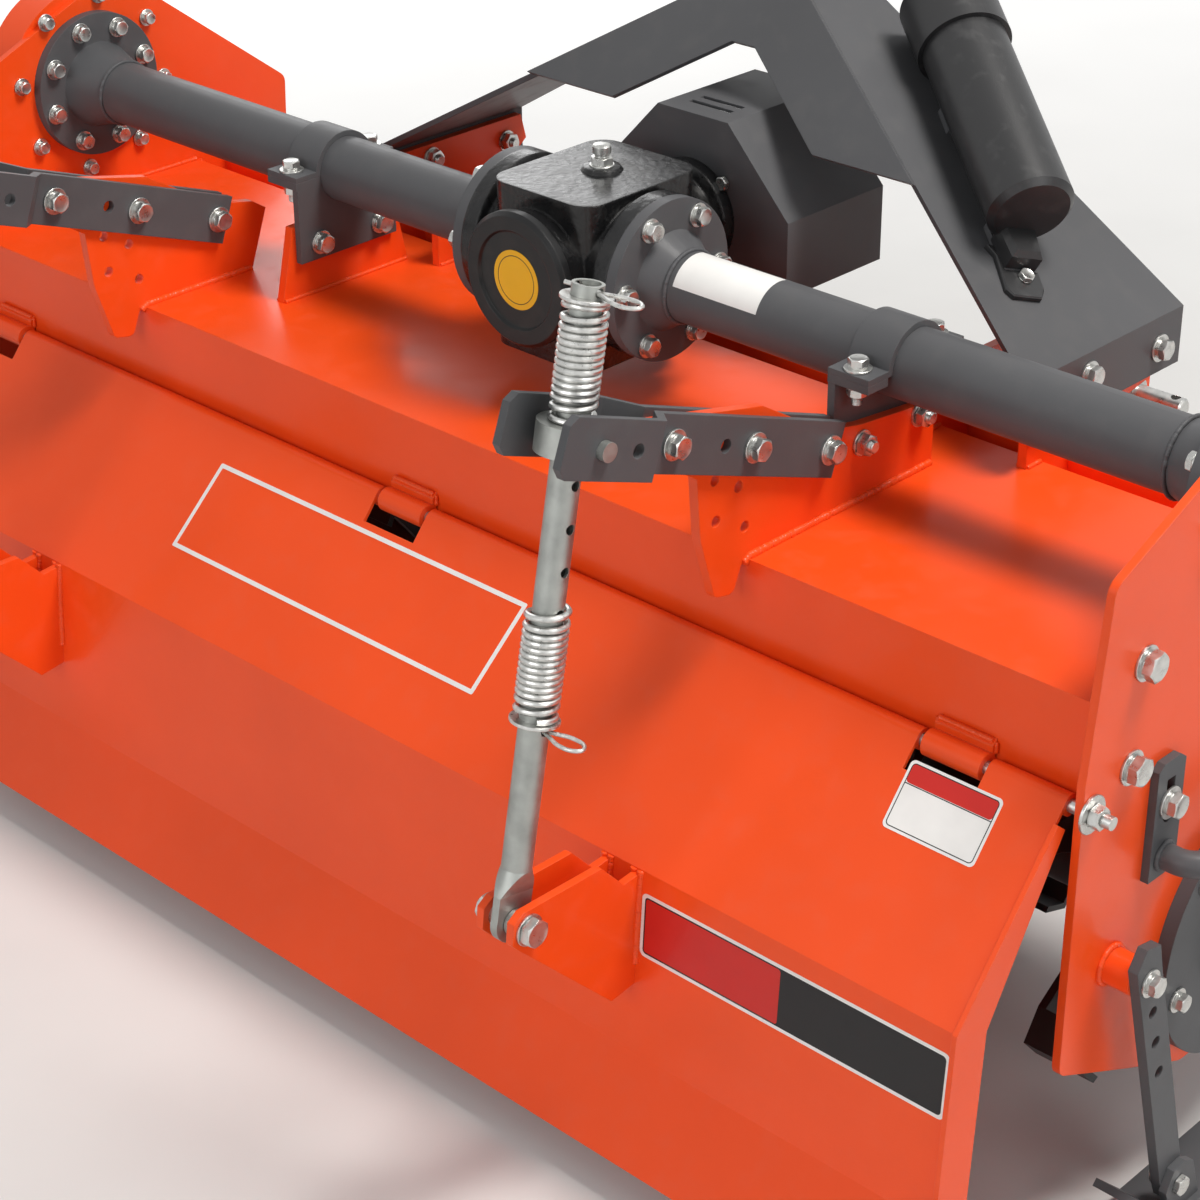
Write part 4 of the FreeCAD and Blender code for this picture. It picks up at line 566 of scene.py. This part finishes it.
# Spring rods: three-quarter inch pipe, hot-dip galvanized to a dull mottled grey, like the pressed
# trunnions. Each has two coiled springs of bright wire, two washers and two split pins.
galvanized = plated("galvanized", (0.36, 0.37, 0.35), 0.42, 55.0)
dress(galvanized, "spring_rod_right spring_rod_left trunnion_right trunnion_left")
dress(zinc, "hinge_rod clevis_bolts hitch_pin_right hitch_pin_left")
wire = plated("spring_wire", (0.60, 0.60, 0.58), 0.26, 200.0)
trunnion_y, trunnion_z = -408.93, 754.12
rod_tilt = math.radians(10.7)
rod_way = Vector((0, math.sin(rod_tilt), math.cos(rod_tilt)))
coil_r, coil_wire_r, coil_length, coil_turns = 17, 2.95, 100, 14.5
seat_r, seat_bore = 22, 13.7
pin_wire_r = 1.9
pin_line = (
    (-25, 0, 0), (-14, 1.6, 0), (0, 2.1, 0), (14, 2.1, 0), (22, 4.0, 0.5), (34, 8.2, 1), (46, 8.6, 1),
    (53, 5.4, 0.6), (56, 0, 0), (53, -5.4, -0.6), (46, -8.6, -1), (34, -8.2, -1), (22, -4.0, -0.5),
    (14, -2.1, 0), (4, -2.1, 0))


def smoothed(corners, steps):
    """A smooth line through the corner points, with that many steps between two of them."""
    line = []
    last = len(corners) - 1
    for i in range(last):
        p = [Vector(corners[max(0, min(last, i + k))]) for k in (-1, 0, 1, 2)]
        for j in range(steps):
            t = j / steps
            line.append(0.5 * (
                (2 * p[1]) + (p[2] - p[0]) * t + (2 * p[0] - 5 * p[1] + 4 * p[2] - p[3]) * t ** 2
                + (3 * p[1] - p[0] - 3 * p[2] + p[3]) * t ** 3))
    line.append(Vector(corners[-1]))
    return line


for plane, name in ((right_plane, "right"), (left_plane, "left")):
    centre = (plane, trunnion_y, trunnion_z)
    rod = facing(centre, rod_way)
    springs = bmesh.new()
    for low, flip in ((13, 0.6), (-245, 2.4)):
        points = []
        steps = int(coil_turns * 22)
        for i in range(steps + 1):
            share = i / steps
            closed = abs(2 * share - 1) ** 8
            squeeze = 0.5 + (share - 0.5) * (1 - 0.12 * (1 - closed) + 0.12 * closed)
            squeeze = min(1, max(0, squeeze))
            turn = flip + 2 * math.pi * coil_turns * share
            height = low + 3 + (coil_length - 6) * squeeze
            points.append(rod @ mm(coil_r * math.cos(turn), coil_r * math.sin(turn), height))
        tube_along(springs, points, [coil_wire_r / 1000] * len(points), 10)
    for seat in (113, -248):
        lathe(springs, rod, (
            (seat, seat_r - 0.4), (seat + 0.5, seat_r), (seat + 2.5, seat_r), (seat + 3, seat_r - 0.4),
            (seat + 3, seat_bore), (seat, seat_bore)), 40)
    coil = link("coil_springs_" + name, springs, "spring_rod_" + name, wire)
    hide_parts("springs_" + name)
    pins = bmesh.new()
    leaning = Matrix.Translation(mm(*centre)) @ Matrix.Rotation(-rod_tilt, 4, "X")
    for height in (120.5, -252.5):
        points = [leaning @ mm(p.x, p.y, p.z + height) for p in smoothed(pin_line, 6)]
        tube_along(pins, points, [pin_wire_r / 1000] * len(points), 10)
    link("split_pins_" + name, pins, "spring_rod_" + name, wire)

# Input shaft: turned steel, bright and oiled, with splines milled along what stands out of the
# gearbox's neck. The yoke of a drive shaft slides over them, under the shield.
steel = plated("oiled_steel", (0.50, 0.50, 0.50), 0.2, 300.0)
dress(steel, "input_shaft")

# Document tube: blown black plastic with a fine grain and a screwed cap, on its two pads. A flat
# tab, moulded on under its closed end, takes the screw that holds it to the mast leg.
black_plastic, tone = start_finish("black_plastic")
scuffs = tone.cloud(60.0, 6.0).between(0.55, 0.8)
end_finish(tone, {
    "Base Color": scuffs.mix((0.016, 0.016, 0.017, 1.0), (0.035, 0.035, 0.036, 1.0)),
    "Roughness": 0.36 + scuffs * 0.2,
    "Normal": tone.cloud(1500.0, 2.0).bump(0.00008),
})
dress(black_plastic, "document_tube document_tube_cap")
tube_way = Vector((-0.752, 0.481, 0.451)).normalized()
tube_out = Vector(mast_out)
tube_side = tube_out.cross(tube_way).normalized()
tube_axes = Matrix((tube_way, tube_side, tube_out)).transposed().to_4x4()
tube_place = Matrix.Translation(mm(395.75, 215, 769.76)) @ tube_axes


def slab(mesh, place, outline, low, high, edge):
    """A flat piece over an outline in millimetres, with a bevel of the given width round its top."""
    middle = Vector((sum(p[0] for p in outline), sum(p[1] for p in outline))) / len(outline)
    rings = []
    for level, inset in ((low, 0), (high - edge, 0), (high, edge)):
        ring = []
        for x, y in outline:
            inward = (middle - Vector((x, y))).normalized() * inset
            ring.append(mesh.verts.new(place @ mm(x + inward.x, y + inward.y, level)))
        rings.append(ring)
    for under, over in zip(rings, rings[1:]):
        for i in range(len(outline)):
            mesh.faces.new((under[i - 1], under[i], over[i], over[i - 1]))
    mesh.faces.new(rings[0])
    mesh.faces.new(reversed(rings[-1]))


tab = bmesh.new()
tab_outline = ((-2, -27), (-14, -21), (-54, -20), (-66, -13), (-66, 18), (-58, 24), (-14, 21), (-2, 27))
slab(tab, tube_place, tab_outline, -49.9, -44, 1.5)
slab(tab, tube_place, ((5, -20), (-32, -16), (-32, 18), (5, 20)), -45, -22, 6)
link("document_tube_tab", tab, "frame", black_plastic)

# Rotor: tube and seven tine wheels in black primer, which the soil has polished off the tines'
# edges a little. Two screws hold each of a wheel's six tines, three on either face.
tine_paint = sprayed(
    "tine_black", (0.022, 0.022, 0.023), (0.30, 0.29, 0.28, 1.0), 0.46, 0.1, shine=0.28)
dress(tine_paint, "rotor_tube tine_wheels")
wheel_pitch, wheel_twist, screw_r = 232, 17, 64
tine_screws = bmesh.new()
for number in range(7):
    middle = wheel_pitch * (number - 3)
    for tine in range(6):
        way = 1 if tine % 2 == 0 else -1
        turn = math.radians(wheel_twist * number + 120 * (tine // 2) + (0 if way > 0 else 60))
        for across in (-12, 12):
            y = across * math.cos(turn) - screw_r * math.sin(turn)
            z = across * math.sin(turn) + screw_r * math.cos(turn)
            centre = (middle + way * 13, rotor_y + y, rotor_z + z)
            screw(tine_screws, centre, (way, 0, 0), 8, 6.5, 0, turn=turn)
link("tine_screws", tine_screws, "rotor", zinc)

# Stickers: die-cut vinyl with rounded corners, in plain colours under a clear film. They lie on
# the tailgate's panels and on the right cross tube.
panels = {}
for number, top_y, top_z, degrees in ((1, -216.722, 479.879, 40), (2, -349.907, 321.154, 4)):
    lean = math.radians(degrees)
    down = Vector((0, -math.sin(lean), -math.cos(lean)))
    panels[number] = (Vector((0, top_y, top_z)), down, Vector((0, down.z, -down.y)))


def rounded_box(x0, x1, s0, s1, radius):
    """Outline of a rounded rectangle, X across and s down the panel, corner by corner."""
    steps = 6
    points = []
    for cx, cs, start in ((x1 - radius, s1 - radius, 0), (x0 + radius, s1 - radius, 90),
                          (x0 + radius, s0 + radius, 180), (x1 - radius, s0 + radius, 270)):
        for i in range(steps + 1):
            a = math.radians(start + 90 * i / steps)
            points.append((cx + radius * math.cos(a), cs + radius * math.sin(a)))
    return points


def sticker(name, panel, box, radius, finish, lift=0.25, line=0.0, slant=0.0):
    """A flat sticker on a tailgate panel; with a line it is a frame, and with a slant its ends lean."""
    origin, down, out = panels[panel]
    left, right, top_edge, low_edge = box
    sunk_to = 0.02
    mesh = bmesh.new()

    def spot(x, s, height):
        return (origin + Vector((x - (s - top_edge) * slant, 0, 0)) + down * s + out * height) / 1000.0

    rim = rounded_box(*box, radius)
    top = [mesh.verts.new(spot(x, s, lift)) for x, s in rim]
    foot = [mesh.verts.new(spot(x, s, sunk_to)) for x, s in rim]
    for i in range(len(rim)):
        mesh.faces.new((foot[i - 1], foot[i], top[i], top[i - 1]))
    if line:
        inside = rounded_box(
            left + line, right - line, top_edge + line, low_edge - line, max(0.5, radius - line))
        ring = [mesh.verts.new(spot(x, s, lift)) for x, s in inside]
        sunk = [mesh.verts.new(spot(x, s, sunk_to)) for x, s in inside]
        for i in range(len(rim)):
            mesh.faces.new((top[i - 1], top[i], ring[i], ring[i - 1]))
            mesh.faces.new((ring[i - 1], ring[i], sunk[i], sunk[i - 1]))
            mesh.faces.new((sunk[i - 1], sunk[i], foot[i], foot[i - 1]))
    else:
        mesh.faces.new(top)
        mesh.faces.new(list(reversed(foot)))
    link(name, mesh, "tailgate", finish)


white_print = printed("white_print", (0.80, 0.79, 0.77))
red_print = printed("red_print", (0.56, 0.022, 0.016))
sticker("sticker_frame", 1, (-275, 174, 37, 136.5), 2, white_print, line=4.6, slant=0.13)
sticker("sticker_small", 1, (619, 714, 19, 81), 5, white_print)
sticker("sticker_small_line", 1, (621.5, 711.5, 21.5, 78.5), 4, black_print, 0.3, line=0.9)
sticker("sticker_small_band", 1, (622.4, 710.6, 22.4, 39), 3, red_print, 0.32)
sticker("sticker_small_rule", 1, (622.4, 710.6, 39.4, 40.3), 0.4, black_print, 0.3)
sticker("sticker_long", 2, (424, 763, 21, 86), 6, white_print)
sticker("sticker_long_black", 2, (427.5, 759.5, 24.5, 82.5), 4, black_print, 0.3)
sticker("sticker_long_red", 2, (429, 584, 26, 81), 3, red_print, 0.34)
wrap_left, wrap_right, wrap_foot, wrap_top = 166, 269, 35.02, 35.22
wrap = bmesh.new()
rows = []
for i in range(33):
    a = math.radians(20 + 86 * i / 32)
    rows.append([
        wrap.verts.new(mm(x, -out * math.cos(a), tube_z + out * math.sin(a))) for x, out in (
            (wrap_left, wrap_foot), (wrap_left, wrap_top),
            (wrap_right, wrap_top), (wrap_right, wrap_foot))])
for low, high in zip(rows, rows[1:]):
    for k in range(4):
        wrap.faces.new((low[k - 1], low[k], high[k], high[k - 1]))
wrap.faces.new(rows[0])
wrap.faces.new(reversed(rows[-1]))
link("sticker_tube", wrap, "frame", white_print)

# Studio: a pale floor that brightens towards its far edge, a pale world, four soft lamps, and the
# camera where the photograph was taken from.
floor_mesh = bmesh.new()
bmesh.ops.create_grid(floor_mesh, x_segments=1, y_segments=1, size=30.0)
floor_data = bpy.data.meshes.new("floor")
floor_mesh.to_mesh(floor_data)
floor_mesh.free()
floor = bpy.data.objects.new("floor", floor_data)
bpy.context.scene.collection.objects.link(floor)


def seen_or_mirrored(tone):
    """1 for rays from the camera and for mirrored ones, and 0 for the light that falls on things."""
    return (tone.node("ShaderNodeLightPath", output="Is Camera Ray")
            + tone.node("ShaderNodeLightPath", output="Is Glossy Ray"))


pale_floor, tone = start_finish("pale_floor")
spot = tone.node("ShaderNodeNewGeometry", output="Position")
away = tone.node("ShaderNodeVectorMath", {"operation": "LENGTH"}, {0: spot}, "Value")
glow = away.between(1.2, 3.6) * seen_or_mirrored(tone)
mottle = tone.cloud(3.0).between(0.3, 0.7)
end_finish(tone, {
    "Base Color": mottle.mix((0.72, 0.72, 0.71, 1.0), (0.76, 0.76, 0.75, 1.0)),
    "Roughness": 0.85,
    "Specular IOR Level": 0.1,
    "Emission Color": glow.mix((0.0, 0.0, 0.0, 1.0), (0.55, 0.55, 0.55, 1.0)),
    "Emission Strength": 1.0,
})
floor_data.materials.append(pale_floor)
world = bpy.data.worlds.new("studio")
world.use_nodes = True
world.node_tree.nodes.clear()
sky = Tone(world.node_tree)
strength = seen_or_mirrored(sky) * 0.64 + 0.28
backing = sky.node("ShaderNodeBackground", {}, {"Color": (0.9, 0.9, 0.9, 1.0), "Strength": strength})
sky.node("ShaderNodeOutputWorld", {}, {"Surface": backing})
bpy.context.scene.world = world


def lamp(name, place, size, watts, colour=(1.0, 1.0, 1.0)):
    """A soft rectangular lamp in metres that looks at the middle of the machine."""
    data = bpy.data.lights.new(name, "AREA")
    data.shape = "RECTANGLE"
    data.size, data.size_y = size
    data.energy = watts
    data.color = colour
    thing = bpy.data.objects.new(name, data)
    thing.location = place
    middle = Vector((0, 0, 0.4))
    thing.rotation_euler = (middle - Vector(place)).to_track_quat("-Z", "Y").to_euler()
    bpy.context.scene.collection.objects.link(thing)


lamp("key", (1.5, 0.7, 3.7), (1.1, 1.1), 125, colour=(1.0, 0.97, 0.93))
lamp("fill", (0.3, -3.9, 2.1), (2.6, 1.8), 55)
lamp("side", (3.6, -0.6, 1.5), (1.6, 1.6), 22)
lamp("front", (-3.2, 2.2, 2.0), (1.8, 1.8), 26)

camera_data = bpy.data.cameras.new("camera")
camera_data.sensor_width = 36.0
camera_data.lens = 81.65
camera_data.clip_start = 0.05
camera = bpy.data.objects.new("camera", camera_data)
back = Vector((0.609691, -0.632475, 0.477758))
right = Vector((0.72272, 0.691101, -0.007393))
up = back.cross(right)
camera.matrix_world = Matrix((
    (right.x, up.x, back.x, 1.776297),
    (right.y, up.y, back.y, -1.805585),
    (right.z, up.z, back.z, 1.673031),
    (0, 0, 0, 1)))
bpy.context.scene.collection.objects.link(camera)
bpy.context.scene.camera = camera
bpy.context.scene.view_settings.view_transform = "Standard"

low, high = cad_box
